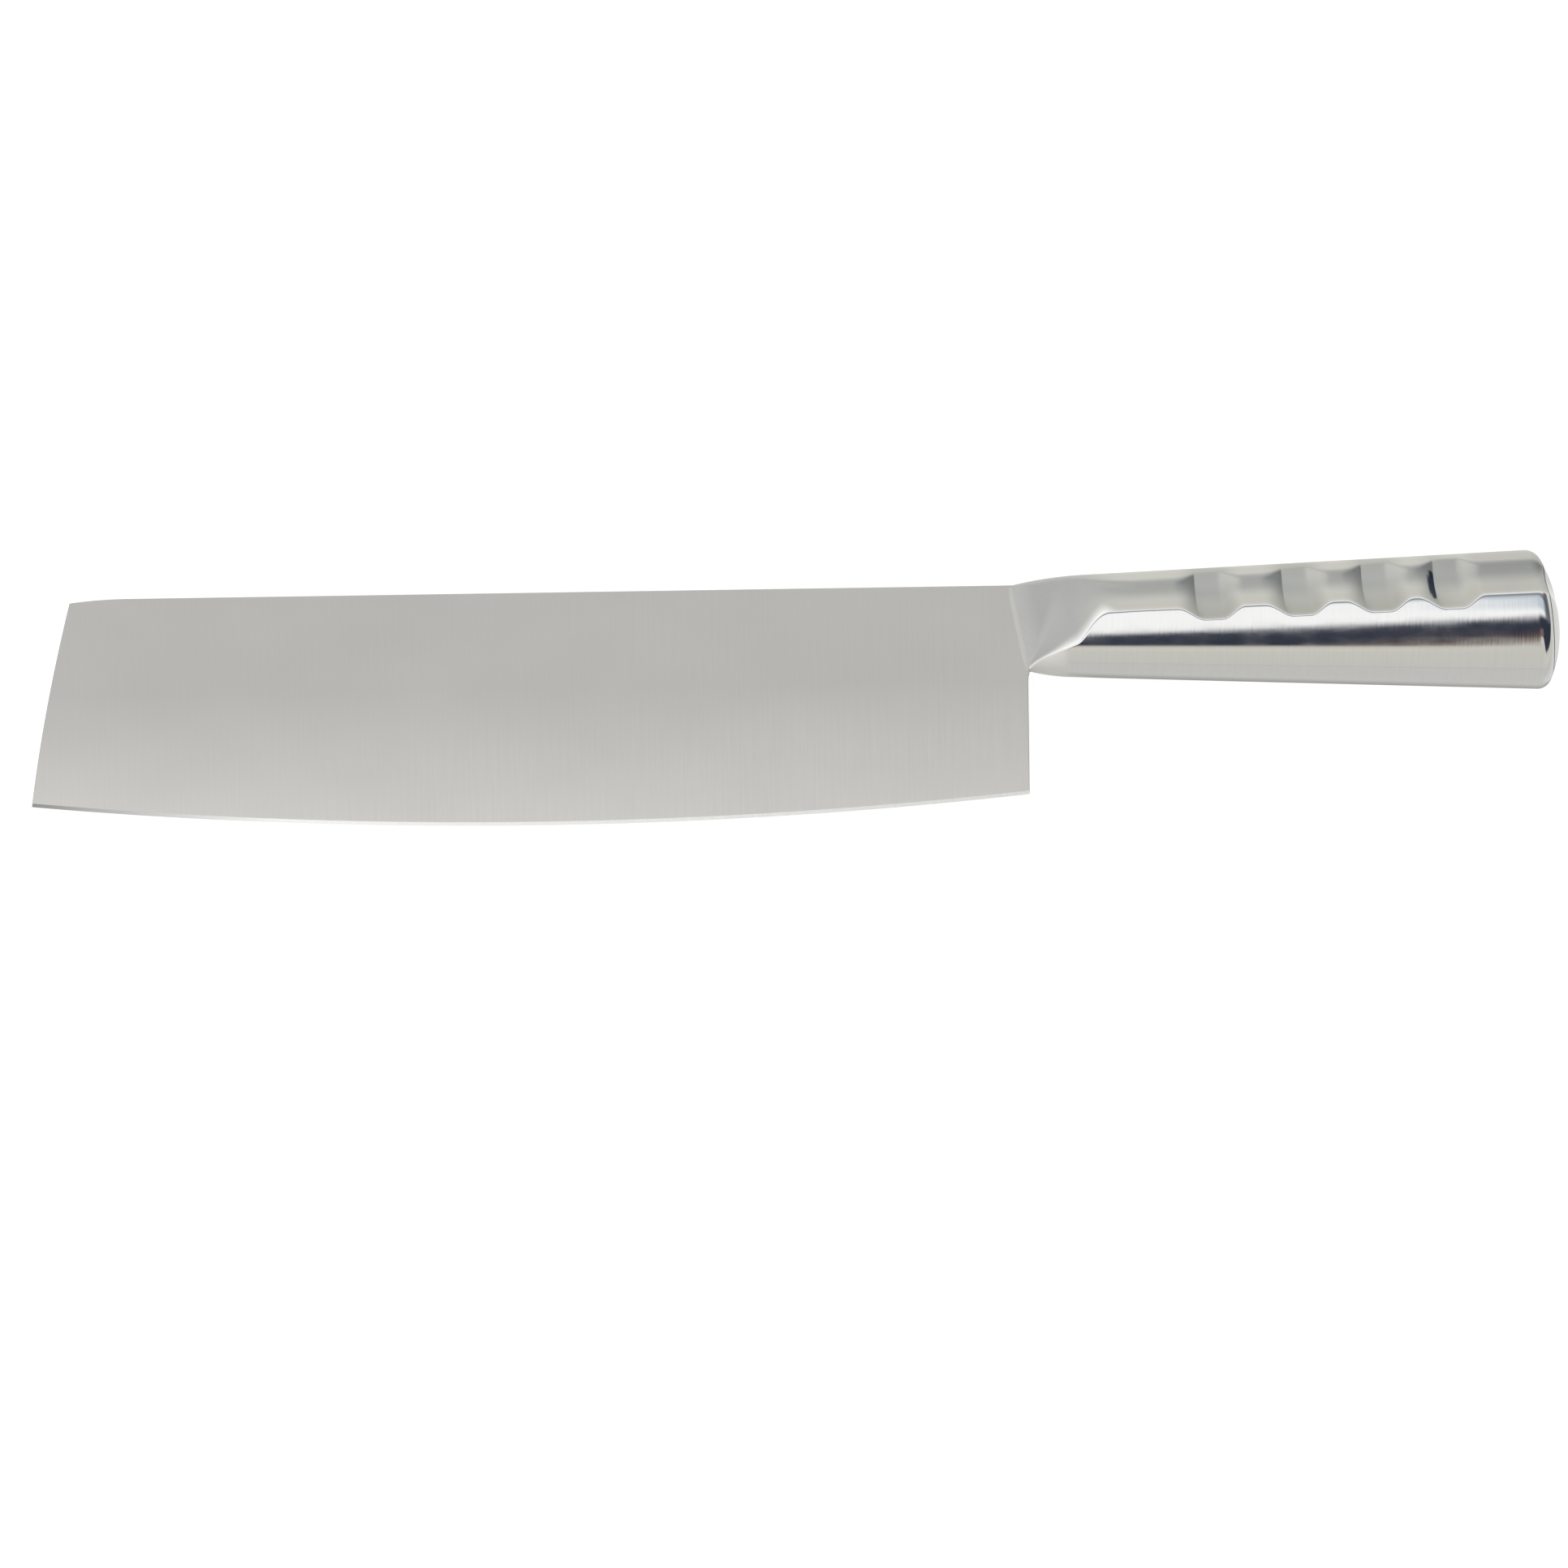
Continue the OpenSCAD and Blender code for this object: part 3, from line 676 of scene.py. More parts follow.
def make_shell(name, node, side):
    """One pressed half: side is 1 for the left and -1 for the right, its mirror image."""
    flip = side < 0
    points = np.concatenate([np.array(OUTER).reshape(-1, 3), np.array(INNER).reshape(-1, 3)])
    points = points * [1, 1, side]
    count, inside = len(STATIONS), len(STATIONS) * ROWS
    faces, tags, sharp = [], [], []
    for quad in grid_quads(count, ROWS):
        polished = quad[0] % ROWS < BULGE_ROWS
        faces += [tuple(reversed(quad)), tuple(v + inside for v in quad)]
        tags += [1 if polished else 0, 0]
    for i in range(count - 1):
        a, b = i * ROWS, (i + 1) * ROWS
        faces.append((a, b, b + inside, a + inside))
        c, d = a + ROWS - 1, b + ROWS - 1
        faces.append((c, c + inside, d + inside, d))
        sharp += [(a, b), (c, d), (a + inside, b + inside), (c + inside, d + inside)]
        tags += [0, 0]
    for j in range(ROWS - 1):
        e = (count - 1) * ROWS + j
        faces += [(j + 1, j, j + inside, j + 1 + inside), (e, e + 1, e + 1 + inside, e + inside)]
        sharp += [(j, j + 1), (e, e + 1), (j + inside, j + 1 + inside), (e + inside, e + 1 + inside)]
        tags += [0, 0]
    finish_and_light = np.concatenate([finish_and_light_row(s[0], row) for s, row in zip(STATIONS, OUTER)]
                            + [np.zeros((inside, len(FINISH_AND_PAINTED_LIGHT)))])
    return make_piece(name, points, faces, [MATERIALS["satin"], MATERIALS["polish"]], [node],
                      tags, sharp, flip, finish_and_light)


def full_turn(row):
    """A row of the left half and its mirror image, as one closed ring."""
    return np.concatenate([row, row[::-1] * [1, 1, -1]])


def make_cap():
    """Domed cap: outer and inner skin, closed at the back by one small face each."""
    stations = dome_stations()
    rings = [full_turn(skin_row(s, 0.0)) for s in stations]
    rings += [full_turn(skin_row(s, WALL)) for s in reversed(stations)]
    turn = 2 * ROWS
    half = len(stations)
    faces = grid_quads(half, turn, 0, True) + grid_quads(half, turn, half * turn, True)
    faces = [tuple(reversed(f)) for f in faces]
    last_ring = (2 * half - 1) * turn
    for k in range(turn):
        m = (k + 1) % turn
        faces.append((k, m, last_ring + m, last_ring + k))
    out_end, in_start = (half - 1) * turn, half * turn
    points = np.concatenate(rings)
    centres = [rings[half - 1].mean(0), rings[half].mean(0)]
    base = len(points)
    points = np.concatenate([points, centres])
    for k in range(turn):
        m = (k + 1) % turn
        faces.append((out_end + k, out_end + m, base))
        faces.append((in_start + m, in_start + k, base + 1))
    sharp = [(k, (k + 1) % turn) for k in range(turn)]
    return make_piece("butt_cap_dome", points, faces, [MATERIALS["polish"]], ["butt_cap"],
                      sharp=sharp)


def make_cap_weld():
    """Ring weld with a shallow groove between the shells and the cap."""
    first, last = STATIONS[-1], dome_stations()[0]
    rings = []
    for t, deep in ((0.0, 0.0), (GROOVE_SIDE, GROOVE), (1 - GROOVE_SIDE, GROOVE), (1.0, 0.0)):
        station = (mix(first[0], last[0], t), mix(first[1], last[1], t), RIM_TURN)
        rings.append(full_turn(skin_row(station, deep)))
    rings += [full_turn(skin_row(last, WALL)), full_turn(skin_row(first, WALL))]
    turn = 2 * ROWS
    points = np.concatenate(rings)
    faces = [tuple(reversed(f)) for f in grid_quads(len(rings), turn, 0, True)]
    end = (len(rings) - 1) * turn
    for k in range(turn):
        m = (k + 1) % turn
        faces.append((k, m, end + m, end + k))
    return make_piece("cap_weld_ring", points, faces, [MATERIALS["groove"]], ["cap_weld"])


# Depth of the ring weld's groove, the share of its width in each side wall, and the seams' crown
GROOVE = 0.12
GROOVE_SIDE = 0.3
SEAM_CROWN = 0.03


def make_seam(name, node, row):
    """Ground weld between the shells along one row of the skin: 0 is the belly, -1 the spine."""
    crown = [-1.0, -0.5, 0.0, 0.5, 1.0]
    rings = []
    for out_row, in_row in zip(OUTER, INNER):
        out, root = out_row[row].copy(), in_row[row].copy()
        away = (out - root) / np.linalg.norm(out - root)
        ring = [out + away * SEAM_CROWN * (1 - t * t) + [0, 0, SEAM_HALF_W * (t - 1)] for t in crown]
        ring += [root, root - [0, 0, 2 * SEAM_HALF_W]]
        rings.append(np.array(ring))
    turn = len(rings[0])
    faces = grid_quads(len(rings), turn, 0, True)
    end = (len(rings) - 1) * turn
    faces += [tuple(range(turn - 1, -1, -1)), tuple(end + k for k in range(turn))]
    sharp = []
    for i in range(len(rings) - 1):
        for k in (0, len(crown) - 1, len(crown), len(crown) + 1):
            sharp.append((i * turn + k, (i + 1) * turn + k))
    return make_piece(name, np.concatenate(rings), faces, [MATERIALS["weld"]], [node],
                      sharp=sharp, flip=row == 0)


# Blade

def arc_point(r, x):
    """Point on the arc of radius r about the belly's centre, at that x."""
    return np.array([x, BELLY_C[1] - math.sqrt(r * r - (x - BELLY_C[0]) ** 2)])


def front_curve(n):
    """Points down the bowed front end, from the spine's corner to the tip."""
    chord = TIP - SPINE_CORNER
    length = math.hypot(*chord)
    side = np.array([chord[1], -chord[0]]) / length
    r = (length ** 2 / 4 + FRONT_BOW ** 2) / (2 * FRONT_BOW)
    centre = (SPINE_CORNER + TIP) / 2 - side * (r - FRONT_BOW)
    half, mid = math.asin(length / 2 / r), math.atan2(side[1], side[0])
    turns = np.linspace(mid - half, mid + half, n)
    return centre + r * np.stack([np.cos(turns), np.sin(turns)], 1)


def along(points, shares):
    """Points at the given shares of a polyline's length."""
    points = np.asarray(points)
    steps = np.concatenate([[0], np.cumsum(np.linalg.norm(np.diff(points, axis=0), axis=1))])
    where = np.asarray(shares) * steps[-1]
    return np.stack([np.interp(where, steps, points[:, k]) for k in range(2)], 1)


def mouth_at(y):
    return np.array([-MOUTH_BACK - MOUTH_LEAN * y, y - AXIS_DROP])


def half_thickness(p):
    """Half thickness of the blade at a point of its side view."""
    r = math.hypot(*(p - BELLY_C))
    if r > BELLY_R - BEVEL_W:
        return mix(EDGE_HALF_T, BEVEL_HALF_T, (BELLY_R - r) / BEVEL_W)
    t = min(1.0, (BELLY_R - BEVEL_W - r) / (GRIND_W - BEVEL_W))
    return mix(BEVEL_HALF_T, BLADE_T / 2, 1 - (1 - t) ** 2)


FRONT_POINTS = 200
SPINE_POINTS = 24
BLADE_COLUMNS = 120
COLUMN_CROWD = 1.25
MOUTH_ROWS = 18
CHOIL_ROWS = 8
HEEL_ROWS = 26
BEVEL_ROWS = 3
# Width of the eased edges round the outline
EASE = 0.12


def blade_grid():
    """Points of the side view: rows run down from the spine to the edge, columns from front to heel."""
    front = front_curve(FRONT_POINTS)
    r_bevel = BELLY_R - BEVEL_W
    reach = np.hypot(*(front - BELLY_C).T)
    k = int(np.argmax(reach > r_bevel))
    t = (r_bevel - reach[k - 1]) / (reach[k] - reach[k - 1])
    front_upper = np.vstack([front[:k], mix(front[k - 1], front[k], t)])
    mouth_low = mouth_at(-half_h(0, -1))
    mouth = np.linspace([mouth_at(AXIS_DROP)[0], 0.0], mouth_low, MOUTH_ROWS + 1)
    s = np.linspace(1, 0, CHOIL_ROWS + 1)[1:]
    choil = np.stack([mouth_low[0] * s * s, mouth_low[1] - CHOIL_H * (1 - s)], 1)
    heel = np.linspace(choil[-1], arc_point(r_bevel, 0.0), HEEL_ROWS + 1)[1:]
    right = np.vstack([mouth, choil, heel])
    rows = len(right)
    left = along(front_upper, np.linspace(0, 1, rows))
    columns = np.linspace(0, 1, BLADE_COLUMNS + 1) ** COLUMN_CROWD
    drop = np.linspace(1, 0, SPINE_POINTS)
    spine_line = np.stack([SPINE_CORNER[0] + SPINE_DROP_L * (1 - drop), -SPINE_DROP * drop ** 2], 1)
    top = along(np.vstack([spine_line, right[0]]), columns)
    bottom = np.array([arc_point(r_bevel, x) for x in mix(left[-1][0], 0.0, columns)])
    grid = np.zeros((rows + BEVEL_ROWS, BLADE_COLUMNS + 1, 2))
    for i, v in enumerate(np.linspace(0, 1, rows)):
        for j, s in enumerate(columns):
            ruled = mix(left[i], right[i], s) + mix(top[j], bottom[j], v)
            corners = mix(mix(left[0], right[0], s), mix(left[-1], right[-1], s), v)
            grid[i, j] = ruled - corners
    for i in range(BEVEL_ROWS):
        r = mix(r_bevel, BELLY_R, (i + 1) / BEVEL_ROWS)
        x_left = mix(left[-1][0], TIP[0], (i + 1) / BEVEL_ROWS)
        for j, s in enumerate(columns):
            grid[rows + i, j] = arc_point(r, mix(x_left, 0.0, s))
    return grid, rows - 1


def make_blade():
    """Both cheeks, with eased edges round the outline and a bevel along the edge, painted near white as a
    highlight.
    """
    grid, bevel_row = blade_grid()
    n_rows, n_columns = grid.shape[:2]
    height = np.array([[half_thickness(p) for p in row] for row in grid])
    loop = [(0, j) for j in range(n_columns)] + [(i, n_columns - 1) for i in range(1, n_rows)]
    loop += [(n_rows - 1, j) for j in range(n_columns - 2, -1, -1)]
    loop += [(i, 0) for i in range(n_rows - 2, 0, -1)]
    outline = np.array([grid[i, j] for i, j in loop])
    ahead, behind = np.roll(outline, -1, 0) - outline, outline - np.roll(outline, 1, 0)
    run = ahead / np.linalg.norm(ahead, axis=1)[:, None] + behind / np.linalg.norm(behind, axis=1)[:, None]
    inward = np.stack([run[:, 1], -run[:, 0]], 1) / np.linalg.norm(run, axis=1)[:, None]
    ease = np.array([0.0 if i == n_rows - 1 else min(EASE, height[i, j] / 3) for i, j in loop])
    cheek = grid.copy()
    for (i, j), q in zip(loop, outline + inward * ease[:, None]):
        cheek[i, j] = q
    sides = []
    for side in (1, -1):
        sides.append(np.dstack([cheek, side * height[:, :, None]]).reshape(-1, 3))
    loop_h = np.array([height[i, j] for i, j in loop]) - ease
    walls = [np.column_stack([outline, side * loop_h]) for side in (1, -1)]
    points = np.concatenate(sides + walls)
    per_side = n_rows * n_columns
    faces, tags = [], []
    for quad in grid_quads(n_rows, n_columns):
        bevel = quad[0] // n_columns >= bevel_row
        faces += [tuple(reversed(quad)), tuple(v + per_side for v in quad)]
        tags += [1 if bevel else 0] * 2
    first_wall, second_wall = 2 * per_side, 2 * per_side + len(loop)
    sharp = []
    for k in range(len(loop)):
        m = (k + 1) % len(loop)
        a, b = (loop[n][0] * n_columns + loop[n][1] for n in (k, m))
        if a == b:
            continue
        edge_face = loop[k][0] == n_rows - 1 and loop[m][0] == n_rows - 1
        rings = [(a, b), (first_wall + k, first_wall + m), (second_wall + k, second_wall + m),
                 (a + per_side, b + per_side)]
        for (p, q), (r, t) in zip(rings, rings[1:]):
            faces.append((p, q, t, r))
            tags.append(1 if edge_face else 0)
        sharp += rings if edge_face else [rings[0], rings[3]]
    for side in (0, per_side):
        for j in range(n_columns - 1):
            a = side + bevel_row * n_columns + j
            sharp.append((a, a + 1))
    tang_points, tang_faces = tang_block(len(points))
    points = np.concatenate([points, tang_points])
    faces += tang_faces
    tags += [0] * len(tang_faces)
    points[:, :2] -= MIDDLE[:2]
    return make_piece("blade_sheet", points, faces, [MATERIALS["blade"], MATERIALS["bevel"]], ["blade"],
                      tags, sharp)


TANG_CHAMFER = 0.3
TANG_ROOT = 1.0
TANG_END_SHRINK = 0.9

def tang_block(first):
    """The tongue inside the handle's mouth, with chamfered long edges, from TANG_ROOT inside the blade."""
    ring_yz = []
    for y, z in ((1, 1), (1, -1), (-1, -1), (-1, 1)):
        pair = [(y * (TANG_H / 2 - TANG_CHAMFER), z * TANG_HALF_T),
                (y * TANG_H / 2, z * (TANG_HALF_T - TANG_CHAMFER))]
        ring_yz += pair if y * z > 0 else pair[::-1]
    points = []
    for u in (-TANG_ROOT, TANG_L - TANG_CHAMFER, TANG_L):
        shrink = TANG_END_SHRINK if u == TANG_L else 1.0
        for y, z in ring_yz:
            p = mouth_at(y * shrink)
            points.append((p[0] + u, p[1], z * shrink))
    n = len(ring_yz)
    faces = [tuple(v + first for v in f) for f in grid_quads(3, n, 0, True)]
    faces += [tuple(first + k for k in range(n - 1, -1, -1)), tuple(first + 2 * n + k for k in range(n))]
    return np.array(points), faces


# The fillet reaches FILLET_W onto the blade, and half as far at its two ends
FILLET_RISE_L = 3.0
FILLET_STEPS = 24
FILLET_LEAST = 0.02
FILLET_SUNK = 0.1
LAND_Z = BLADE_T / 2 - FILLET_SUNK


def make_bolster_weld():
    """One smooth fillet on each cheek, from the blade up to the shell's mouth."""
    mouth = OUTER[0] + MIDDLE
    points, faces, sharp = [], [], []
    for side in (1, -1):
        first = len(points)
        rows = [p for p in mouth if p[2] > BLADE_T / 2 + FILLET_LEAST]
        for p in rows:
            inside = min(p[1] - rows[0][1], rows[-1][1] - p[1])
            blend = mix(FILLET_W / 2, FILLET_W, smooth(inside / FILLET_RISE_L))
            for k in range(FILLET_STEPS + 1):
                t = k / FILLET_STEPS
                points.append((p[0] - blend * (1 - t), p[1], side * mix(BLADE_T / 2, p[2], t * t)))
            points.append((p[0], p[1], side * LAND_Z))
            points.append((p[0] - blend, p[1], side * LAND_Z))
        turn = FILLET_STEPS + 3
        for i in range(len(rows) - 1):
            for k in (0, FILLET_STEPS):
                sharp.append((first + i * turn + k, first + (i + 1) * turn + k))
        quads = grid_quads(len(rows), turn, first, True)
        last = first + (len(rows) - 1) * turn
        quads += [tuple(first + k for k in range(turn - 1, -1, -1)), tuple(last + k for k in range(turn))]
        faces += quads if side < 0 else [tuple(reversed(q)) for q in quads]
    points = np.array(points) - MIDDLE
    return make_piece("bolster_fillets", points, faces, [MATERIALS["fillet"]], ["bolster_weld"],
                      sharp=sharp)


make_shell("handle_shell_left", "left_handle_shell", 1)
make_shell("handle_shell_right", "right_handle_shell", -1)
make_cap()
make_cap_weld()
make_seam("spine_seam_bead", "spine_seam_weld", -1)
make_seam("belly_seam_bead", "belly_seam_weld", 0)
make_blade()
make_bolster_weld()


# Stage: floor, world and camera

class NodeMath:
    """Short forms for node sums in a material or the world."""

    def __init__(self, tree):
        self.nodes, self.links = tree.nodes, tree.links

    def put(self, value, socket):
        if isinstance(value, (int, float)):
            socket.default_value = value
        elif isinstance(value, tuple):
            socket.default_value = (*value, 1)
        else:
            self.links.new(value, socket)

    def sum(self, operation, *values):
        node = self.nodes.new("ShaderNodeMath")
        node.operation = operation
        for value, socket in zip(values, node.inputs):
            self.put(value, socket)
        return node.outputs[0]

    def step(self, value, start, end, low=0.0, high=1.0):
        """Smooth step of a value from low at start to high at end."""
        node = self.nodes.new("ShaderNodeMapRange")
        node.interpolation_type = "SMOOTHSTEP"
        for name, number in (("From Min", start), ("From Max", end), ("To Min", low), ("To Max", high)):
            node.inputs[name].default_value = number
        self.put(value, node.inputs["Value"])
        return node.outputs["Result"]

    def mix(self, factor, a, b):
        node = self.nodes.new("ShaderNodeMix")
        node.data_type = "RGBA"
        for value, name in ((factor, 0), (a, 6), (b, 7)):
            self.put(value, node.inputs[name])
        return node.outputs[2]

    def ramp(self, turn, stops):
        """Colour by turn in degrees."""
        node = self.nodes.new("ShaderNodeValToRGB")
        self.put(self.sum("MULTIPLY_ADD", turn, 1 / 360, 0.5), node.inputs["Fac"])
        elements = node.color_ramp.elements
        while len(elements) < len(stops):
            elements.new(1.0)
        for element, (degrees, colour) in zip(elements, stops):
            element.position = degrees / 360 + 0.5
            element.color = (*colour, 1)
        return node.outputs["Color"]


# The floor, in metres: half its width, its gap below the steel, and where the butt rests, from its end
FLOOR_HALF = 4.0
FLOOR_GAP = 0.0001
BUTT_REST = 0.006
FLOOR_DIFFUSE = (0.22, 0.22, 0.22)
FLOOR_GLOW = (0.90, 0.90, 0.90)
# What the steel sees of the floor is painted light: warm on the belly's side, brighter on the spine's side
BELLY_SIDE_GLOW = (0.63, 0.62, 0.59)
SPINE_SIDE_GLOW = (0.86, 0.85, 0.82)
# Behind the butt painted shade makes it duller within BUTT_END_REACH of the axis; SIDE_BLEND softens the
# borders
BUTT_END_GLOW = (0.73, 0.73, 0.71)
BUTT_END_REACH = 0.030
SIDE_BLEND = 0.010
# Along the belly's silhouette a painted contact shadow sinks it to CONTACT_SHADE, and it is back at full
# CONTACT_REACH away; the painted shadow comes in over CONTACT_FROM behind the mouth
CONTACT_SHADE = 0.35
CONTACT_REACH = 0.020
CONTACT_FROM = 0.030


def make_floor():
    """A large pale floor that carries the butt and the blade's front end, so it is a little tilted.
    The camera sees an even glow, and all other rays a painted glow and painted contact shadow that change by
    place."""
    low, high = cad_box
    butt_x, butt_z = high.x - BUTT_REST, low.z - FLOOR_GAP
    front_x, front_z = low.x, -BLADE_T / 2 * MM - FLOOR_GAP
    slope = (front_z - butt_z) / (front_x - butt_x)
    signs = ((-1, -1), (1, -1), (1, 1), (-1, 1))
    corners = [(a * FLOOR_HALF, b * FLOOR_HALF, butt_z + slope * (a * FLOOR_HALF - butt_x)) for a, b in signs]
    mesh = bpy.data.meshes.new("studio_floor")
    mesh.from_pydata(corners, [], [(0, 1, 2, 3)])
    material = bpy.data.materials.new("studio_floor_white")
    material.use_nodes = True
    w = NodeMath(material.node_tree)
    w.nodes.clear()
    diffuse = w.nodes.new("ShaderNodeBsdfDiffuse")
    w.put(FLOOR_DIFFUSE, diffuse.inputs["Color"])
    split = w.nodes.new("ShaderNodeSeparateXYZ")
    w.put(w.nodes.new("ShaderNodeTexCoord").outputs["Object"], split.inputs[0])
    # The belly's silhouette runs from (x0, y0) down to the butt
    x0, y0 = (np.array([0.0, mouth_at(-half_h(0, -1))[1]]) - MIDDLE[:2]) * MM
    fall = (TAPER_BUTT - TAPER_FRONT) / SHELL_L
    line = w.sum("MULTIPLY_ADD", w.sum("SUBTRACT", split.outputs["X"], x0), fall, -y0)
    beyond = w.sum("ABSOLUTE", w.sum("ADD", split.outputs["Y"], line))
    sides = w.mix(w.step(split.outputs["Y"], y0, y0 + SIDE_BLEND), BELLY_SIDE_GLOW, SPINE_SIDE_GLOW)
    behind = w.step(split.outputs["X"], high.x, high.x + SIDE_BLEND)
    in_line = w.step(w.sum("ABSOLUTE", split.outputs["Y"]), BUTT_END_REACH, 2 * BUTT_END_REACH, 1.0, 0.0)
    sides = w.mix(w.sum("MULTIPLY", behind, in_line), sides, BUTT_END_GLOW)
    gap = w.step(split.outputs["X"], x0, x0 + CONTACT_FROM, 1.0, 0.0)
    gap = w.sum("MAXIMUM", gap, behind)
    shade = w.sum("MAXIMUM", w.step(beyond, 0.0, CONTACT_REACH, CONTACT_SHADE, 1.0), gap)
    # Painted light and a painted contact shadow on the floor, seen only by reflections
    seen = w.mix(shade, (0.0, 0.0, 0.0), sides)
    camera_ray = w.nodes.new("ShaderNodeLightPath").outputs["Is Camera Ray"]
    glow = w.nodes.new("ShaderNodeEmission")
    w.put(w.mix(camera_ray, seen, FLOOR_GLOW), glow.inputs["Color"])
    add = w.nodes.new("ShaderNodeAddShader")
    w.put(diffuse.outputs[0], add.inputs[0])
    w.put(glow.outputs[0], add.inputs[1])
    w.put(add.outputs[0], w.nodes.new("ShaderNodeOutputMaterial").inputs["Surface"])
    mesh.materials.append(material)
    floor = bpy.data.objects.new("studio_floor", mesh)
    bpy.context.scene.collection.objects.link(floor)


# Studio round the knife, by the turn from straight up towards +Y in degrees: (turn, colour).
# LOW_SIDE is seen by what faces the belly, HIGH_SIDE by what faces up and towards the spine.
NAVY = (0.045, 0.055, 0.085)
LOW_SIDE = [
    (-180, (0.86, 0.85, 0.81)),
    (-96, (0.86, 0.85, 0.81)),
    (-94, (0.60, 0.59, 0.56)),
    (-91, (0.60, 0.59, 0.56)),
    (-89, (0.84, 0.83, 0.78)),
    (-60, (0.86, 0.85, 0.79)),
    (-52, (0.93, 0.91, 0.82)),
    (-47, (0.80, 0.78, 0.70)),
    (-42.5, NAVY),
]
HIGH_SIDE = [
    (-10, (1.45, 1.45, 1.45)),
    (30, (1.45, 1.45, 1.45)),
    (38, (0.34, 0.39, 0.45)),
    (47, (0.36, 0.40, 0.45)),
    (56, (0.75, 0.75, 0.75)),
    (80, (1.4, 1.4, 1.37)),
    (180, (1.05, 1.05, 1.03)),
]
# The two sides meet at this turn where the tilt to +X is GRIP_TILT, and further up by MEET_RISE degrees for
# each degree of tilt past it
SIDES_MEET = -2.9
MEET_RISE = 3.9
MEET_TOP = 5.0
MEET_BLUR = 5.5
# Past GRIP_TILT the low side's stops are lifted by LIFT degrees for each squared degree of tilt, which comes
# in over the turns of LIFT_TURN; the line where the sides meet takes LIFT_MEET of it
GRIP_TILT = 3.8
LIFT = 4.2
LIFT_MAX = 16.0
LIFT_TURN = (-85, -60)
LIFT_MEET = 0.1
# At far larger tilts the low side's stops sink by DROP degrees, and the brown ends
DROP = 30.0
DROP_TILT = (10, 28)
BROWN_END_TILT = (10, 20)
# A bluish veil dims the white just below the ridge where the handle tilts most
VEIL = (0.80, 0.90, 1.00)
VEIL_FROM = 8.0
VEIL_FULL = 22.0
VEIL_TILT = (0.3, 1.1)
VEIL_END = (34, 38)
# A brown wedge lies over the navy's lower limit and grows with the tilt to +X
BROWN = (0.30, 0.20, 0.165)
BROWN_START = -44.0
BROWN_BLUR = 1.0
BROWN_SOFT = (-4.0, 2.0)
BROWN_FROM = -1.5
BROWN_RISE = 4.0
BROWN_MAX = 12.0
# The dim far end of the studio
FAR_END = (0.12, 0.13, 0.16)
FAR_END_SHARE = 0.9
FAR_TILT = (30, 55)
FAR_TURN = (-10, 5)

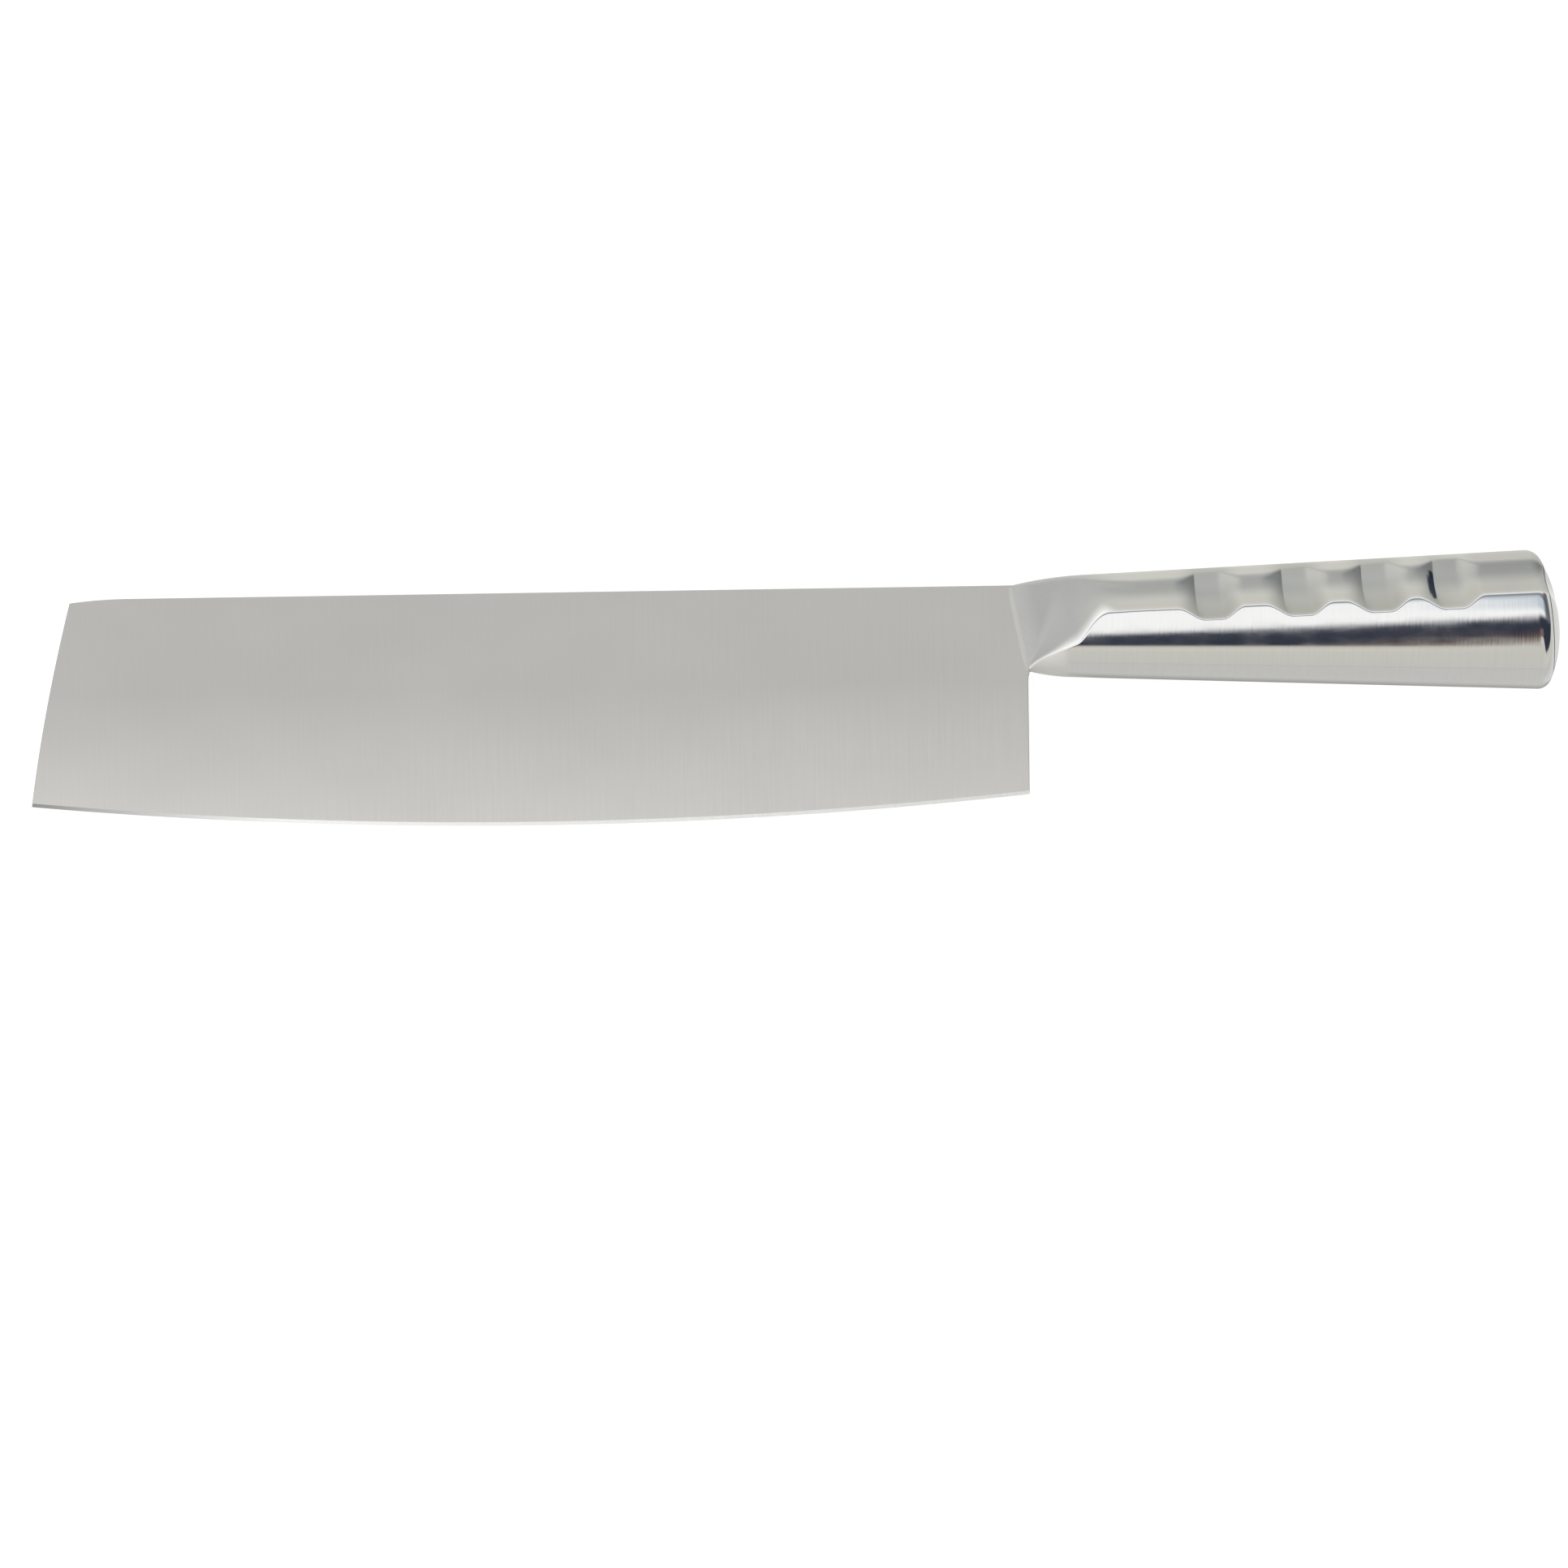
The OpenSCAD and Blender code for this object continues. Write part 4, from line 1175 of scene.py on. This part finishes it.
def studio_colour(w):
    """Colour of the studio in a direction, from its turn about X and its tilt to +X."""
    coords = w.nodes.new("ShaderNodeTexCoord")
    split = w.nodes.new("ShaderNodeSeparateXYZ")
    w.put(coords.outputs["Generated"], split.inputs[0])
    x, y, z = split.outputs
    to_degrees = 180 / math.pi
    turn = w.sum("MULTIPLY", w.sum("ARCTAN2", y, z), to_degrees)
    tilt = w.sum("MULTIPLY", w.sum("ARCSINE", x), to_degrees)
    past = w.sum("SUBTRACT", tilt, GRIP_TILT)
    butt = w.sum("MAXIMUM", past, 0.0)
    lift = w.sum("MINIMUM", w.sum("MULTIPLY", w.sum("MULTIPLY", butt, butt), LIFT), LIFT_MAX)
    meet = w.sum("MULTIPLY_ADD", past, MEET_RISE, SIDES_MEET)
    meet = w.sum("ADD", meet, w.sum("MULTIPLY", lift, LIFT_MEET))
    meet = w.sum("MINIMUM", meet, MEET_TOP)
    high_side = w.step(w.sum("SUBTRACT", turn, meet), -MEET_BLUR, MEET_BLUR)
    drop = w.step(tilt, *DROP_TILT, 0.0, DROP)
    lifted = w.sum("SUBTRACT", turn, w.sum("MULTIPLY", lift, w.step(turn, *LIFT_TURN)))
    low = w.ramp(w.sum("ADD", lifted, drop), LOW_SIDE)
    brown_w = w.sum("MULTIPLY", w.sum("SUBTRACT", past, BROWN_FROM), BROWN_RISE)
    brown_w = w.sum("MINIMUM", brown_w, BROWN_MAX)
    above = w.step(lifted, BROWN_START - BROWN_BLUR, BROWN_START + BROWN_BLUR)
    over = w.sum("SUBTRACT", w.sum("SUBTRACT", lifted, BROWN_START), brown_w)
    below = w.step(over, *BROWN_SOFT, 1.0, 0.0)
    near = w.step(tilt, *BROWN_END_TILT, 1.0, 0.0)
    low = w.mix(w.sum("MULTIPLY", w.sum("MULTIPLY", above, below), near), low, BROWN)
    veil = w.sum("MULTIPLY", w.step(turn, VEIL_FROM, VEIL_FULL), w.step(past, *VEIL_TILT))
    high = w.mix(w.sum("MULTIPLY", veil, w.step(turn, *VEIL_END, 1.0, 0.0)), w.ramp(turn, HIGH_SIDE), VEIL)
    colour = w.mix(high_side, low, high)
    # The far end is dim, which darkens the front walls of the dimples
    far = w.sum("MULTIPLY", w.step(tilt, *FAR_TILT), w.step(turn, *FAR_TURN))
    return w.mix(w.sum("MULTIPLY", far, FAR_END_SHARE), colour, FAR_END)


def make_world():
    """The camera sees white, and all other rays the studio."""
    world = bpy.data.worlds.new("studio")
    bpy.context.scene.world = world
    world.use_nodes = True
    w = NodeMath(world.node_tree)
    w.nodes.clear()
    studio = w.nodes.new("ShaderNodeBackground")
    w.put(studio_colour(w), studio.inputs["Color"])
    white = w.nodes.new("ShaderNodeBackground")
    white.inputs["Color"].default_value = (1, 1, 1, 1)
    pick = w.nodes.new("ShaderNodeMixShader")
    w.put(w.nodes.new("ShaderNodeLightPath").outputs["Is Camera Ray"], pick.inputs[0])
    w.put(studio.outputs[0], pick.inputs[1])
    w.put(white.outputs[0], pick.inputs[2])
    output = w.nodes.new("ShaderNodeOutputWorld")
    w.put(pick.outputs[0], output.inputs["Surface"])


# The photograph's centre falls on this point of the row frame, and its frame is this wide at Z = 0
AIM = (-2.5, -20.1)
CAMERA_HEIGHT = 1000.0
FRAME_WIDTH = 341.0
ROLL = math.radians(-0.883)
SENSOR = 36.0


def make_camera():
    data = bpy.data.cameras.new("camera")
    data.sensor_width = SENSOR
    data.lens = SENSOR * CAMERA_HEIGHT / FRAME_WIDTH
    data.clip_start = 0.01
    data.clip_end = 50
    camera = bpy.data.objects.new("camera", data)
    camera.location = (AIM[0] * MM, AIM[1] * MM, CAMERA_HEIGHT * MM)
    camera.rotation_euler = (0, 0, ROLL)
    bpy.context.scene.collection.objects.link(camera)
    bpy.context.scene.camera = camera


make_floor()
make_world()
make_camera()
bpy.context.scene.view_settings.view_transform = "Standard"
